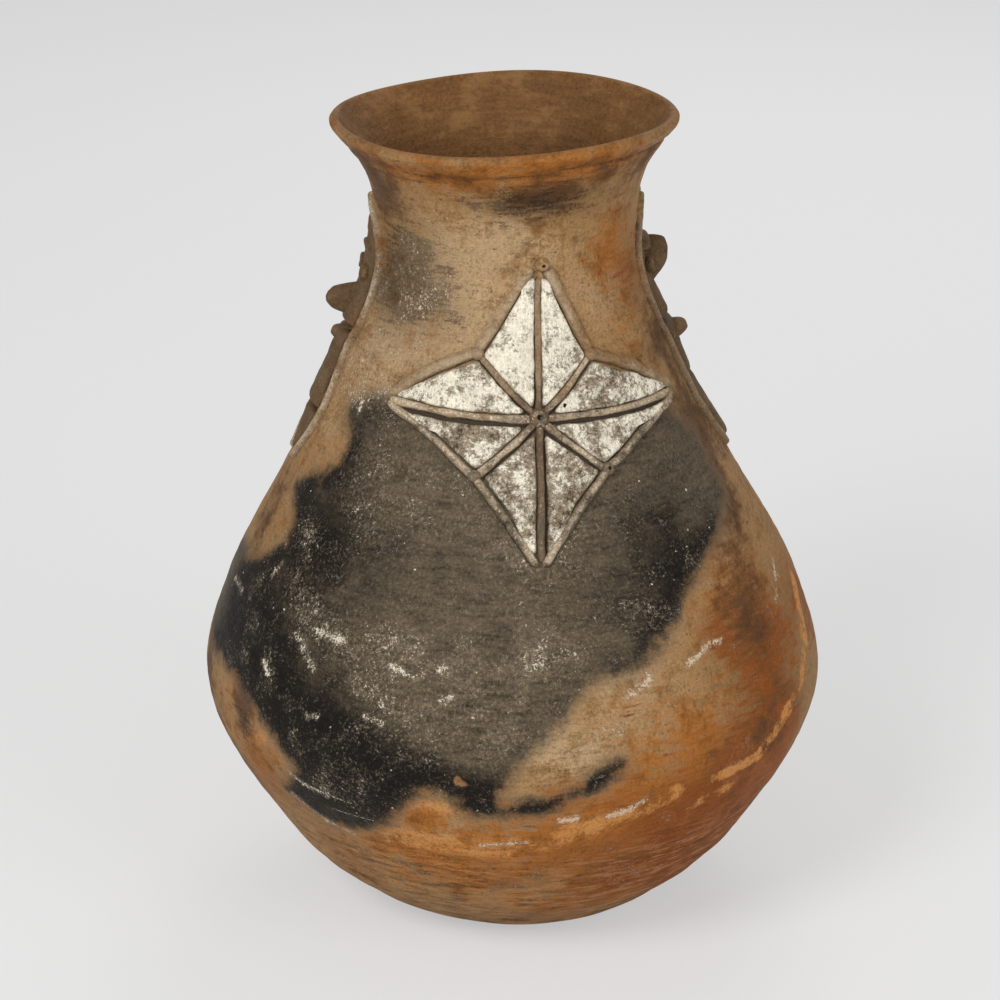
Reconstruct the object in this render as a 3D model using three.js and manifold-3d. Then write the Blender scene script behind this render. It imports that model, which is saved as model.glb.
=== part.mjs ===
// A hand-built earthenware jar for storing sago flour. The body is five stages of coiled clay, luted to each
// other with bevelled seams. A four-pointed star in applied clay faces the front, and a mask with a lug nose
// stands on each side. Millimetres, +Z up. The origin is the middle of the flat foot, and -Y is the front.
import * as THREE from "three";
import { mergeVertices } from "three/addons/utils/BufferGeometryUtils.js";
import Module from "manifold-3d";

const wasm = await Module();
wasm.setup();

// Outer face of the body: the radius at each station, and its rise above the station below
const FOOT_RADIUS = 98;
const HEEL_RISE = 6;
const HEEL_RADIUS = 115;
const BOWL_RISE = 22;
const BOWL_RADIUS = 147;
const FLANK_RISE = 72;
const FLANK_RADIUS = 207;
const BELLY_RISE = 80;
const BELLY_RADIUS = 240;
const SHOULDER_RISE = 70;
const SHOULDER_RADIUS = 223.5;
const CHEST_RISE = 100;
const CHEST_RADIUS = 171;
const THROAT_RISE = 90;
const THROAT_RADIUS = 125.5;
const COLLAR_RISE = 60;
const COLLAR_RADIUS = 102.5;
const NECK_RISE = 40;
const NECK_RADIUS = 98.5;
const FLARE_RISE = 46;
const FLARE_RADIUS = 108;
const LIP_RISE = 31;
const LIP_RADIUS = 131;

// Walls, and the luted seams between stages, each named by the station that it lies near
const WALL = 9;
const FLOOR = 12;
const LIP_ROUND = 2;
const SEAM_BEVEL = 7;
const GAP = 0.3;
const BASE_SEAM_ABOVE_FLANK = 20;
const BELLY_SEAM_ABOVE_SHOULDER = 35;
const SHOULDER_SEAM_ABOVE_THROAT = 22;
const RIM_SEAM_BELOW_FLARE = 9;

// The unevenness of hand work
const LEAN = -7.8;
const HAND_WOBBLE = 1;
const LIP_WAVE = 2.5;
const LIP_WAVE_AZIMUTH = 70;
const LIP_RIPPLE = 1.5;
const LIP_RIPPLE_AZIMUTH = 40;

// Star on the front. Its points go round clockwise as [across, up] from its middle, corners between tips.
const STAR_AZIMUTH = 9.8;
const STAR_BELOW_THROAT = 12;
const STAR_TIPS = { top: [11.5, 96], right: [126, -3], bottom: [-6, -93], left: [-118, 4] };
const STAR_CORNERS = {
  upper_right: [50, 38],
  lower_right: [42, -38],
  lower_left: [-44, -38],
  upper_left: [-47, 43],
};
const RIB_WIDTH = 6.5;
const RIB_HEIGHT = 7;
const EDGE_WIDTH = 8;
const EDGE_HEIGHT = 8;
const FIELD_THICKNESS = 3.4;
const FIELD_CROWN = 1.4;
const BOSS_RADIUS = 7.5;
const BOSS_HEIGHT = 10;
const PELLET_RADIUS = 6.2;
const PELLET_HEIGHT = 8.5;
const PELLET_HOLE_RADIUS = 1.5;
const PELLET_HOLE_DEPTH = 5;
const TIP_PELLET_RISE = 9;
const PIERCED_CORNER = "lower_right";

// Masks on the sides, as [across, up] from a middle on the neck. Plates lie inside the border like shingles, and
// each has its thickness at the top and at the foot. Lugs stand out by their reach.
const MASK_BELOW_NECK = 25;
const MASK_OUTLINE = [
  [6, 45],
  [20, 25],
  [29, 0],
  [23, -39],
  [15, -71],
  [20, -106],
  [16, -130],
  [6, -157],
];
const BORDER_WIDTH = 7.5;
const BORDER_HEIGHT = 4.5;
const PLATE_CROWN = 2;
const FACE_FOOT = -53;
const TAIL_TOP = -58;
const TAIL_FOOT = -153;
const SHINGLE_STEP = 3;
const BROW_RISE = 2;
const BROW_HALF_SPAN = 18;
const BROW_ARCH = 7;
const BROW_WIDTH = 8;
const BROW_HEIGHT = 12;
const EYE_RISE = -11;
const EYE_SPREAD = 14;
const EYE_RADIUS = 4.6;
const EYE_ROLL = 4.5;
const EYE_HEIGHT = 13;
const NOSE_HALF_WIDTH = 8;
const CHIN_RADIUS = 8;
const LEFT_MASK_AZIMUTH = -86;
const LEFT_FACE_TOP = 30;
const LEFT_FACE_THICKNESS = [3, 9];
const LEFT_TAIL_SPLIT = -116;
const LEFT_UPPER_TAIL_THICKNESS = [10, 6.5];
const LEFT_LOWER_TAIL_THICKNESS = [5, 2];
const LEFT_NOSE_RISE = -35;
const LEFT_NOSE_HALF_HEIGHT = 16;
const LEFT_NOSE_REACH = 27.5;
const LEFT_NOSE_TIP_RISE = -6;
const LEFT_CHIN_RISE = -62;
const LEFT_CHIN_REACH = 14;
const LEFT_CHIN_TIP_RISE = -2;
const RIGHT_MASK_AZIMUTH = 96;
const RIGHT_FACE_TOP = 16;
const RIGHT_FACE_THICKNESS = [1.5, 8];
const RIGHT_TAIL_SPLIT = -98;
const RIGHT_UPPER_TAIL_THICKNESS = [8, 4];
const RIGHT_LOWER_TAIL_THICKNESS = [2.5, 4.5];
const RIGHT_NOSE_RISE = -12;
const RIGHT_NOSE_HALF_HEIGHT = 22;
const RIGHT_NOSE_REACH = 23;
const RIGHT_NOSE_TIP_RISE = 7;
const RIGHT_CHIN_RISE = -66;
const RIGHT_CHIN_REACH = 22;
const RIGHT_CHIN_TIP_RISE = -4;
const MASKS = {
  left: {
    azimuth: LEFT_MASK_AZIMUTH,
    face: { top: LEFT_FACE_TOP, thick: LEFT_FACE_THICKNESS },
    tailSplit: LEFT_TAIL_SPLIT,
    upperTail: LEFT_UPPER_TAIL_THICKNESS,
    lowerTail: LEFT_LOWER_TAIL_THICKNESS,
    nose: {
      rise: LEFT_NOSE_RISE,
      halfHeight: LEFT_NOSE_HALF_HEIGHT,
      reach: LEFT_NOSE_REACH,
      tipRise: LEFT_NOSE_TIP_RISE,
    },
    chin: { rise: LEFT_CHIN_RISE, reach: LEFT_CHIN_REACH, tipRise: LEFT_CHIN_TIP_RISE },
  },
  right: {
    azimuth: RIGHT_MASK_AZIMUTH,
    face: { top: RIGHT_FACE_TOP, thick: RIGHT_FACE_THICKNESS },
    tailSplit: RIGHT_TAIL_SPLIT,
    upperTail: RIGHT_UPPER_TAIL_THICKNESS,
    lowerTail: RIGHT_LOWER_TAIL_THICKNESS,
    nose: {
      rise: RIGHT_NOSE_RISE,
      halfHeight: RIGHT_NOSE_HALF_HEIGHT,
      reach: RIGHT_NOSE_REACH,
      tipRise: RIGHT_NOSE_TIP_RISE,
    },
    chin: { rise: RIGHT_CHIN_RISE, reach: RIGHT_CHIN_REACH, tipRise: RIGHT_CHIN_TIP_RISE },
  },
};

// How finely the shapes are divided
const SIDES = 40;
const ROW_SPACING = 27;
const STRIP_STEP = 19;
const DOME_SIDES = 8;
const SINK = 4;

const radians = THREE.MathUtils.degToRad;
const degrees = THREE.MathUtils.radToDeg;

// Heights and radii of the stations, from the foot up
const FLANK_HEIGHT = HEEL_RISE + BOWL_RISE + FLANK_RISE;
const SHOULDER_HEIGHT = FLANK_HEIGHT + BELLY_RISE + SHOULDER_RISE;
const THROAT_HEIGHT = SHOULDER_HEIGHT + CHEST_RISE + THROAT_RISE;
const NECK_HEIGHT = THROAT_HEIGHT + COLLAR_RISE + NECK_RISE;
const FLARE_HEIGHT = NECK_HEIGHT + FLARE_RISE;
const HEIGHT = FLARE_HEIGHT + LIP_RISE;
const STATIONS = [
  [0, FOOT_RADIUS],
  [HEEL_RISE, HEEL_RADIUS],
  [HEEL_RISE + BOWL_RISE, BOWL_RADIUS],
  [FLANK_HEIGHT, FLANK_RADIUS],
  [FLANK_HEIGHT + BELLY_RISE, BELLY_RADIUS],
  [SHOULDER_HEIGHT, SHOULDER_RADIUS],
  [SHOULDER_HEIGHT + CHEST_RISE, CHEST_RADIUS],
  [THROAT_HEIGHT, THROAT_RADIUS],
  [THROAT_HEIGHT + COLLAR_RISE, COLLAR_RADIUS],
  [NECK_HEIGHT, NECK_RADIUS],
  [FLARE_HEIGHT, FLARE_RADIUS],
  [HEIGHT, LIP_RADIUS],
];

// Slope of the profile at a station, from the parabola through it and its two neighbours
function stationSlope(i) {
  const rate = (k) => (STATIONS[k + 1][1] - STATIONS[k][1]) / (STATIONS[k + 1][0] - STATIONS[k][0]);
  if (i === 0) return rate(0);
  if (i === STATIONS.length - 1) return rate(i - 1);
  const below = STATIONS[i][0] - STATIONS[i - 1][0];
  const above = STATIONS[i + 1][0] - STATIONS[i][0];
  return (rate(i - 1) * above + rate(i) * below) / (above + below);
}
const SLOPES = STATIONS.map((_, i) => stationSlope(i));

// Radius and slope of the outer face at a height, on a smooth cubic between stations
function profile(height) {
  const z = THREE.MathUtils.clamp(height, 0, HEIGHT);
  const k = Math.max(0, STATIONS.findLastIndex(([low]) => low < z));
  const [low, r0] = STATIONS[k];
  const [high, r1] = STATIONS[k + 1];
  const span = high - low;
  const t = (z - low) / span;
  const m0 = SLOPES[k] * span;
  const m1 = SLOPES[k + 1] * span;
  const radius =
    (2 * t ** 3 - 3 * t ** 2 + 1) * r0 +
    (t ** 3 - 2 * t ** 2 + t) * m0 +
    (3 * t ** 2 - 2 * t ** 3) * r1 +
    (t ** 3 - t ** 2) * m1;
  const slope =
    ((6 * t ** 2 - 6 * t) * (r0 - r1) + (3 * t ** 2 - 4 * t + 1) * m0 + (3 * t ** 2 - 2 * t) * m1) / span;
  return { radius, slope };
}

// A point at a distance out from the wall's outer face, along the face's normal
function wallPoint([azimuth, height], out) {
  const { radius, slope } = profile(height);
  const a = radians(azimuth);
  const normal = new THREE.Vector2(1, -slope).normalize();
  const wobble = (HAND_WOBBLE / 2) * (Math.sin(3 * a + height / 70) + Math.sin(5 * a - height / 45));
  const r = radius + wobble + out * normal.x;
  const wave =
    LIP_WAVE * Math.cos(a - radians(LIP_WAVE_AZIMUTH)) +
    LIP_RIPPLE * Math.cos(3 * (a - radians(LIP_RIPPLE_AZIMUTH)));
  const rise = THREE.MathUtils.smoothstep(height, NECK_HEIGHT, HEIGHT) * wave;
  const shift = LEAN * Math.max(0, height / HEIGHT) ** 1.5;
  return new THREE.Vector3(r * Math.sin(a) + shift, -r * Math.cos(a), height + out * normal.y + rise);
}

// Wall coordinates [azimuth, height] of a place given as [across, up] from an origin on the wall
function wallFrame(azimuth, height) {
  const perMillimetre = degrees(1 / profile(height).radius);
  return ([across, up]) => [azimuth + across * perMillimetre, height + up];
}

// A closed mesh as a solid facing out, from points and triangles
function solid(points, triangles) {
  const geometry = new THREE.BufferGeometry().setFromPoints(points);
  geometry.setIndex(triangles.flat());
  const merged = mergeVertices(geometry, 1e-3);
  const corners = merged.index.array;
  const kept = [];
  for (let i = 0; i < corners.length; i += 3) {
    const [a, b, c] = corners.subarray(i, i + 3);
    if (a !== b && b !== c && c !== a) kept.push(a, b, c);
  }
  const vertProperties = merged.attributes.position.array;
  const make = (list) => new wasm.Manifold(new wasm.Mesh({ numProp: 3, vertProperties, triVerts: list }));
  const made = make(new Uint32Array(kept));
  return made.volume() > 0 ? made : make(new Uint32Array(kept.reverse()));
}

// Loops of points in a row, skinned into one solid. An open row is capped by a fan at each end.
function skin(loops, closed) {
  const size = loops[0].length;
  const triangles = [];
  const spans = closed ? loops.length : loops.length - 1;
  for (let i = 0; i < spans; i++) {
    const here = i * size;
    const next = ((i + 1) % loops.length) * size;
    for (let j = 0; j < size; j++) {
      const k = (j + 1) % size;
      triangles.push([here + j, here + k, next + k], [here + j, next + k, next + j]);
    }
  }
  const end = (loops.length - 1) * size;
  for (let j = 1; !closed && j < size - 1; j++) {
    triangles.push([0, j + 1, j], [end, end + j, end + j + 1]);
  }
  return solid(loops.flat(), triangles);
}

// Equal steps from one number to another, both included, none longer than the spacing
function steps(from, to, spacing) {
  const count = Math.max(1, Math.ceil(Math.abs(to - from) / spacing));
  return Array.from({ length: count + 1 }, (_, i) => from + ((to - from) * i) / count);
}
const AZIMUTHS = Array.from({ length: SIDES }, (_, i) => (360 * i) / SIDES);

// The stages of the wall, as the heights of their rows. The neck and rim curve more, so rows are closer there.
const BASE_TOP = FLANK_HEIGHT + BASE_SEAM_ABOVE_FLANK;
const BELLY_TOP = SHOULDER_HEIGHT + BELLY_SEAM_ABOVE_SHOULDER;
const SHOULDER_TOP = THROAT_HEIGHT + SHOULDER_SEAM_ABOVE_THROAT;
const NECK_TOP = FLARE_HEIGHT - RIM_SEAM_BELOW_FLARE;
const BASE_ROWS = [0, HEEL_RISE, ...steps(HEEL_RISE + BOWL_RISE, BASE_TOP, ROW_SPACING)];
const BELLY_ROWS = steps(BASE_TOP, BELLY_TOP, ROW_SPACING);
const SHOULDER_ROWS = steps(BELLY_TOP, SHOULDER_TOP, ROW_SPACING);
const NECK_ROWS = steps(SHOULDER_TOP, NECK_TOP, ROW_SPACING * 0.8);
const RIM_ROWS = steps(NECK_TOP, HEIGHT, ROW_SPACING * 0.45);

// The section of a stage at one azimuth: up the outer face, over the top, and down the inner face. A seam
// rises inwards by the bevel, and the upper of its two stages keeps the gap.
function stageSection(azimuth, rows, seamBelow, seamAbove) {
  const last = rows.length - 1;
  const outer = rows.map((z, i) => wallPoint([azimuth, z + (i === 0 && seamBelow ? GAP : 0)], 0));
  const inner = rows.map((z, i) => {
    const foot = i === 0 && seamBelow ? SEAM_BEVEL + GAP : 0;
    const top = i === last && seamAbove ? SEAM_BEVEL : 0;
    return wallPoint([azimuth, z + foot + top], -WALL);
  });
  return { outer, inner: inner.reverse() };
}

function wallStage(rows) {
  return skin(
    AZIMUTHS.map((azimuth) => {
      const { outer, inner } = stageSection(azimuth, rows, true, true);
      return [...outer, ...inner];
    }),
    true,
  );
}

function baseBowl() {
  return skin(
    AZIMUTHS.map((azimuth) => {
      const { outer, inner } = stageSection(azimuth, BASE_ROWS, false, true);
      const inside = inner.slice(0, -1);
      return [new THREE.Vector3(0, 0, 0), ...outer, ...inside, new THREE.Vector3(0, 0, FLOOR)];
    }),
    true,
  );
}

function rimCollar() {
  return skin(
    AZIMUTHS.map((azimuth) => {
      const { outer, inner } = stageSection(azimuth, RIM_ROWS, true, false);
      const crest = wallPoint([azimuth, HEIGHT], -WALL / 2);
      crest.z += LIP_ROUND;
      return [...outer, crest, ...inner];
    }),
    true,
  );
}

// The whole jar without its hollow, larger by the gap: what applied clay is cut back to
function wallCutter() {
  const rows = [...new Set([...BASE_ROWS, ...BELLY_ROWS, ...SHOULDER_ROWS, ...NECK_ROWS, ...RIM_ROWS])];
  return skin(
    AZIMUTHS.map((azimuth) => [
      new THREE.Vector3(0, 0, 0),
      ...rows.map((z) => wallPoint([azimuth, z], GAP)),
      new THREE.Vector3(0, 0, HEIGHT),
    ]),
    true,
  );
}

// A section of applied clay between two places on the wall, with lifts spaced evenly from one to the other
function claySection(from, to, lifts) {
  const top = lifts.map((lift, i) => {
    const t = i / (lifts.length - 1);
    return wallPoint([0, 1].map((c) => THREE.MathUtils.lerp(from[c], to[c], t)), lift);
  });
  return [...top, wallPoint(to, -SINK), wallPoint(from, -SINK)];
}

// Distance on the wall between two places, as [around, up the slope]
function wallStep(from, to) {
  const { radius, slope } = profile((from[1] + to[1]) / 2);
  return new THREE.Vector2(radians(to[0] - from[0]) * radius, (to[1] - from[1]) * Math.hypot(1, slope));
}

// A rolled strip of clay along a path on the wall, narrower and lower at its ends
function strip(path, width, height, grow) {
  const curve = new THREE.CatmullRomCurve3(path.map(([a, z]) => new THREE.Vector3(a, z, 0)));
  const length = path.slice(1).reduce((sum, place, i) => sum + wallStep(path[i], place).length(), 0);
  const endLength = (width * 0.45) / length;
  const shares = [0, ...steps(endLength, 1 - endLength, STRIP_STEP / length), 1];
  const loops = shares.map((share) => {
    const at = curve.getPoint(share);
    const ahead = curve.getPoint(Math.min(1, share + 0.01));
    const behind = curve.getPoint(Math.max(0, share - 0.01));
    const run = wallStep([behind.x, behind.y], [ahead.x, ahead.y]).normalize();
    const isEnd = share === 0 || share === 1;
    const half = (isEnd ? 0.3 : 0.5) * width + grow;
    const { radius, slope } = profile(at.y);
    const side = [degrees((-run.y * half) / radius), (run.x * half) / Math.hypot(1, slope)];
    const outward = isEnd ? grow * (share === 0 ? -1 : 1) : 0;
    const middle = [at.x + degrees((run.x * outward) / radius), at.y + run.y * outward];
    const crest = (isEnd ? 0.6 : 1) * height + grow;
    return claySection(
      [middle[0] - side[0], middle[1] - side[1]],
      [middle[0] + side[0], middle[1] + side[1]],
      [crest * 0.45, crest, crest * 0.45],
    );
  });
  return skin(loops, false);
}

// A dome or lug on the wall. Its rings are [share of its radii, share of its reach] from the root up.
const PELLET_RINGS = [[1, 0.3], [0.86, 0.75], [0.5, 0.97], [0.15, 1]];
const LUG_RINGS = [[1, 0.2], [0.86, 0.42], [0.7, 0.7], [0.52, 0.92], [0.22, 1]];
function dome(place, across, up, reach, rings, tipRise, grow) {
  const { radius, slope } = profile(place[1]);
  const loops = [[1, null], ...rings].map(([share, reached]) =>
    Array.from({ length: DOME_SIDES }, (_, i) => {
      const turn = (2 * Math.PI * i) / DOME_SIDES;
      const azimuth = place[0] + degrees((Math.sin(turn) * (across * share + grow)) / radius);
      const height = place[1] + (Math.cos(turn) * (up * share + grow)) / Math.hypot(1, slope);
      const lift = reached === null ? -SINK : reach * reached + grow;
      return wallPoint([azimuth, height + (tipRise * Math.max(0, lift)) / reach], lift);
    }),
  );
  return skin(loops, false);
}

// A ring of rolled clay on the wall
function roll(place, ringRadius, width, height, grow) {
  const { radius, slope } = profile(place[1]);
  const at = (turn, distance) => [
    place[0] + degrees((Math.sin(turn) * distance) / radius),
    place[1] + (Math.cos(turn) * distance) / Math.hypot(1, slope),
  ];
  const half = width / 2 + grow;
  const crest = height + grow;
  const loops = Array.from({ length: DOME_SIDES }, (_, i) => {
    const turn = (2 * Math.PI * i) / DOME_SIDES;
    const lifts = [crest * 0.6, crest, crest * 0.6];
    return claySection(at(turn, ringRadius - half), at(turn, ringRadius + half), lifts);
  });
  return skin(loops, true);
}

// A pad of clay made of rows across it, each given by its two ends and a lift at each share of the way
function pad(rows, across, grow) {
  const loops = rows.map(({ from, to, lift }) => {
    const lifts = steps(0, 1, 1 / across).map((share) => lift(share) + grow);
    return claySection(from, to, lifts);
  });
  return skin(loops, false);
}

// Applied clay in the order it is put on: each piece is cut back to the wall and to the pieces before it.
// A piece is a function of how much it is grown, so that its own keep-out is the same shape made larger.
const CUTTER = wallCutter();
function layClay(pieces) {
  const laid = [];
  let taken = CUTTER;
  for (const { name, material, shape } of pieces) {
    const parts = shape(0).subtract(taken).decompose();
    const largest = parts.reduce((best, part) => (part.volume() > best.volume() ? part : best));
    laid.push({ name, material, solid: largest });
    taken = taken.add(shape(GAP));
  }
  return laid;
}

const CLAY = new THREE.MeshStandardMaterial({ color: 0xa0683a, roughness: 0.82, metalness: 0 });
const SMOKED_CLAY = new THREE.MeshStandardMaterial({ color: 0x5a4d40, roughness: 0.78, metalness: 0 });
const LIME = new THREE.MeshStandardMaterial({ color: 0xd9d2c2, roughness: 0.9, metalness: 0 });

// The star: bosses, then edging strips, ribs to the tips, ribs to the corners, and the painted fields
function starPieces() {
  const place = wallFrame(STAR_AZIMUTH, THROAT_HEIGHT - STAR_BELOW_THROAT);
  const tips = Object.entries(STAR_TIPS);
  const corners = Object.entries(STAR_CORNERS);
  const middle = [0, 0];
  const pellet = (spot, radius, height, pierced) => (grow) => {
    const bead = dome(place(spot), radius, radius, height, PELLET_RINGS, 0, grow);
    if (!pierced || grow > 0) return bead;
    const rings = [[1, 1], [1.2, 2]];
    const hole = dome(place(spot), PELLET_HOLE_RADIUS, PELLET_HOLE_RADIUS, height, rings, 0, 0);
    const floor = dome(place(spot), radius, radius, height - PELLET_HOLE_DEPTH, [[1, 1]], 0, 0);
    return bead.subtract(hole.subtract(floor));
  };
  const [tipAcross, tipUp] = STAR_TIPS.top;
  const bosses = [
    { name: "star_centre_boss", shape: pellet(middle, BOSS_RADIUS, BOSS_HEIGHT, true) },
    {
      name: "star_tip_pellet",
      shape: pellet([tipAcross, tipUp + TIP_PELLET_RISE], PELLET_RADIUS, PELLET_HEIGHT, false),
    },
    ...corners.map(([name, spot]) => ({
      name: `star_pellet_${name}`,
      shape: pellet(spot, PELLET_RADIUS, PELLET_HEIGHT, name === PIERCED_CORNER),
    })),
  ];
  const sides = tips.flatMap(([name, tip], i) => {
    const [before, after] = [corners[(i + 3) % 4], corners[i]];
    return [
      { name: `${name}_to_${before[0]}`, tip, corner: before[1] },
      { name: `${name}_to_${after[0]}`, tip, corner: after[1] },
    ];
  });
  const line = (from, to, width, height) => (grow) =>
    strip([place(from), place(to)], width, height, grow);
  const edges = sides.map(({ name, tip, corner }) => ({
    name: `star_edge_${name}`,
    shape: line(corner, tip, EDGE_WIDTH, EDGE_HEIGHT),
  }));
  const ribs = [...tips, ...corners].map(([name, spot]) => ({
    name: `star_rib_${name}`,
    shape: line(middle, spot, RIB_WIDTH, RIB_HEIGHT),
  }));
  const fields = sides.map(({ name, tip, corner }) => ({
    name: `star_field_${name}`,
    material: LIME,
    shape: () => triangleField(place(middle), place(tip), place(corner)),
  }));
  return [...bosses, ...edges, ...ribs].map((piece) => ({ material: SMOKED_CLAY, ...piece })).concat(fields);
}

// A triangular pad, crowned in its middle, with rows that shrink from one side towards the far corner
function triangleField(start, end, corner) {
  const mix = (a, b, t) => [0, 1].map((c) => THREE.MathUtils.lerp(a[c], b[c], t));
  const rows = [0, 0.3, 0.6, 0.96].map((t) => ({
    from: mix(start, corner, t),
    to: mix(end, corner, t),
    lift: (share) => FIELD_THICKNESS + FIELD_CROWN * 27 * (1 - t) ** 2 * t * share * (1 - share),
  }));
  return pad(rows, 4, 0);
}

// Half the width between the middles of a mask's borders, straight from one point of the outline to the next
function outlineHalf(up) {
  const k = Math.max(1, MASK_OUTLINE.findIndex(([, level]) => level <= up));
  const [[above, high], [below, low]] = [MASK_OUTLINE[k - 1], MASK_OUTLINE[k]];
  return THREE.MathUtils.lerp(below, above, (up - low) / (high - low));
}

// A mask: its border and plates, then the features that stand on the plates
function maskPieces(side, mask) {
  const place = wallFrame(mask.azimuth, NECK_HEIGHT - MASK_BELOW_NECK);
  const towardsFront = side === "left" ? 1 : -1;
  const border = (sign) => (grow) =>
    strip(MASK_OUTLINE.map(([across, up]) => place([sign * across, up])), BORDER_WIDTH, BORDER_HEIGHT, grow);
  const plate = (top, foot, [topThick, footThick]) => (grow) => {
    const rows = steps(top + grow, foot - grow, 0.34 * (top - foot)).map((up) => {
      const half = outlineHalf(up) - BORDER_WIDTH / 2 + grow;
      const thick = THREE.MathUtils.mapLinear(up, top, foot, topThick, footThick);
      return {
        from: place([-half, up]),
        to: place([half, up]),
        lift: (share) => thick + PLATE_CROWN * (1 - (2 * share - 1) ** 2),
      };
    });
    return pad(rows, 4, grow);
  };
  const brow = (grow) => {
    const arch = [-1, 0, 1].map((k) => place([k * BROW_HALF_SPAN, BROW_RISE + BROW_ARCH * (1 - k * k)]));
    return strip(arch, BROW_WIDTH, BROW_HEIGHT, grow);
  };
  const eye = (sign) => (grow) =>
    roll(place([sign * EYE_SPREAD, EYE_RISE]), EYE_RADIUS, EYE_ROLL, EYE_HEIGHT, grow);
  const lug = ({ rise, reach, tipRise }, halfWidth, halfHeight) => (grow) =>
    dome(place([0, rise]), halfWidth, halfHeight, reach, LUG_RINGS, tipRise, grow);
  const { face, tailSplit, upperTail, lowerTail, nose, chin } = mask;
  const shapes = {
    border_front: border(towardsFront),
    border_back: border(-towardsFront),
    face_plate: plate(face.top, FACE_FOOT, face.thick),
    tail_upper: plate(TAIL_TOP, tailSplit, upperTail),
    tail_lower: plate(tailSplit - SHINGLE_STEP, TAIL_FOOT, lowerTail),
    brow,
    eye_front: eye(towardsFront),
    eye_back: eye(-towardsFront),
    nose_lug: lug(nose, NOSE_HALF_WIDTH, nose.halfHeight),
    chin_lug: lug(chin, CHIN_RADIUS, CHIN_RADIUS),
  };
  return Object.entries(shapes).map(([name, shape]) => ({
    name: `${side}_mask_${name}`,
    material: SMOKED_CLAY,
    shape,
  }));
}

// A solid as a named three.js mesh
function meshOf({ name, material, solid: shape }) {
  const { vertProperties, triVerts } = shape.getMesh();
  const geometry = new THREE.BufferGeometry();
  geometry.setAttribute("position", new THREE.BufferAttribute(vertProperties, 3));
  geometry.setIndex(new THREE.BufferAttribute(triVerts, 1));
  geometry.computeVertexNormals();
  const mesh = new THREE.Mesh(geometry, material);
  mesh.name = name;
  return mesh;
}

const body = [
  { name: "base_bowl", solid: baseBowl() },
  { name: "belly_wall", solid: wallStage(BELLY_ROWS) },
  { name: "shoulder_wall", solid: wallStage(SHOULDER_ROWS) },
  { name: "neck_wall", solid: wallStage(NECK_ROWS) },
  { name: "rim_collar", solid: rimCollar() },
].map((stage) => ({ material: CLAY, ...stage }));

const jar = new THREE.Group();
const applied = [starPieces(), ...Object.entries(MASKS).map(([side, mask]) => maskPieces(side, mask))];
for (const piece of [...body, ...applied.flatMap(layClay)]) {
  jar.add(meshOf(piece));
}

export default jar;
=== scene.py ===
# A sago storage jar of coiled earthenware: fired orange and tan, clouded black by the fire, burnished, with a
# star of applied clay painted with lime on its front and a mask of applied clay on each side of its neck.
import math

import bpy
import numpy as np
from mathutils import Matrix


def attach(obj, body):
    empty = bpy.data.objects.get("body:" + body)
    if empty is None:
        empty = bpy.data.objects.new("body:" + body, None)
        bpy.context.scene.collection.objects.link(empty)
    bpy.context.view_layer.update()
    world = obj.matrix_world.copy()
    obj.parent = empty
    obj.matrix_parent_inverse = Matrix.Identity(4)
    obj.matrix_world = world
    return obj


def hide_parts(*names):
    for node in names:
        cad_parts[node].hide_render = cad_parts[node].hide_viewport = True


bl_info = {
    "name": "Sago storage jar",
    "version": (1, 0, 0),
    "blender": (4, 5, 0),
    "location": "View3D > Sidebar > Storage Jar",
    "description": "Builds a coiled earthenware jar with fire clouds, a painted star and two masks",
    "category": "Add Mesh",
}

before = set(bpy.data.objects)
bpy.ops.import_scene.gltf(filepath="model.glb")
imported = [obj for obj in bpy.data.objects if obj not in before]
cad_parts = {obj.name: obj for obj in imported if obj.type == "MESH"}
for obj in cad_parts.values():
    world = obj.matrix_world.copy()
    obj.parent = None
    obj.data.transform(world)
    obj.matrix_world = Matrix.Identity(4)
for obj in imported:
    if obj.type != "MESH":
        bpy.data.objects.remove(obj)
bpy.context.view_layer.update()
BODY = "root"
MM = 0.001

# Wall of the jar in millimetres: the outer radius at each height, as (height, radius)
STATIONS = np.array([
    (0, 98), (6, 115), (28, 147), (100, 207), (180, 240), (250, 223.5),
    (350, 171), (440, 125.5), (500, 102.5), (540, 98.5), (586, 108), (617, 131),
])
HEIGHT = STATIONS[-1, 0]
LIP_DROP = 2.5
LIP_EDGE = HEIGHT - LIP_DROP
LIP_ROUND = 3.5
THROAT_HEIGHT = 440
NECK_HEIGHT = 540
WALL = 9
# Where the inner face of the bowl ends and its floor begins, by the height of the outer face beside it
INNER_FOOT = 10
SEAM_BEVEL = 7
# How far the mouth leans to the right
LEAN = -7.8
HAND_WOBBLE = 1
# The waves of that wobble, as (how many go round, height over which they turn)
WOBBLE_WAVES = ((3, 70), (5, -45))
LIP_WAVE = 2.5
LIP_WAVE_AZIMUTH = 70
LIP_RIPPLE = 1.5
LIP_RIPPLE_AZIMUTH = 40

# The stages of the wall, as the heights between which each one lies
STAGES = {
    "base_bowl": (0, 120),
    "belly_wall": (120, 285),
    "shoulder_wall": (285, 462),
    "neck_wall": (462, 577),
    "rim_collar": (577, LIP_EDGE),
}

# Star on the front, as [across, up] from its middle on the wall
STAR_AZIMUTH = 9.8
STAR_BELOW_THROAT = 12
STAR_TIPS = {"top": (8.5, 97), "right": (126, -3), "bottom": (-6, -93), "left": (-118, 4)}
STAR_CORNERS = {
    "upper_right": (50, 38),
    "lower_right": (42, -38),
    "lower_left": (-44, -38),
    "upper_left": (-47, 43),
}
TIP_PELLET = (12.5, 106)
PIERCED_CORNER = "lower_right"
# How far the root of applied clay goes into the wall
SINK = 4
# How far the fields keep from the edges and lap onto the ribs
FIELD_GROOVE = 0.2
FIELD_LAP = 0.3
FIELD_CORNER = 2.4
FIELD_EDGE = 1.6
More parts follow.
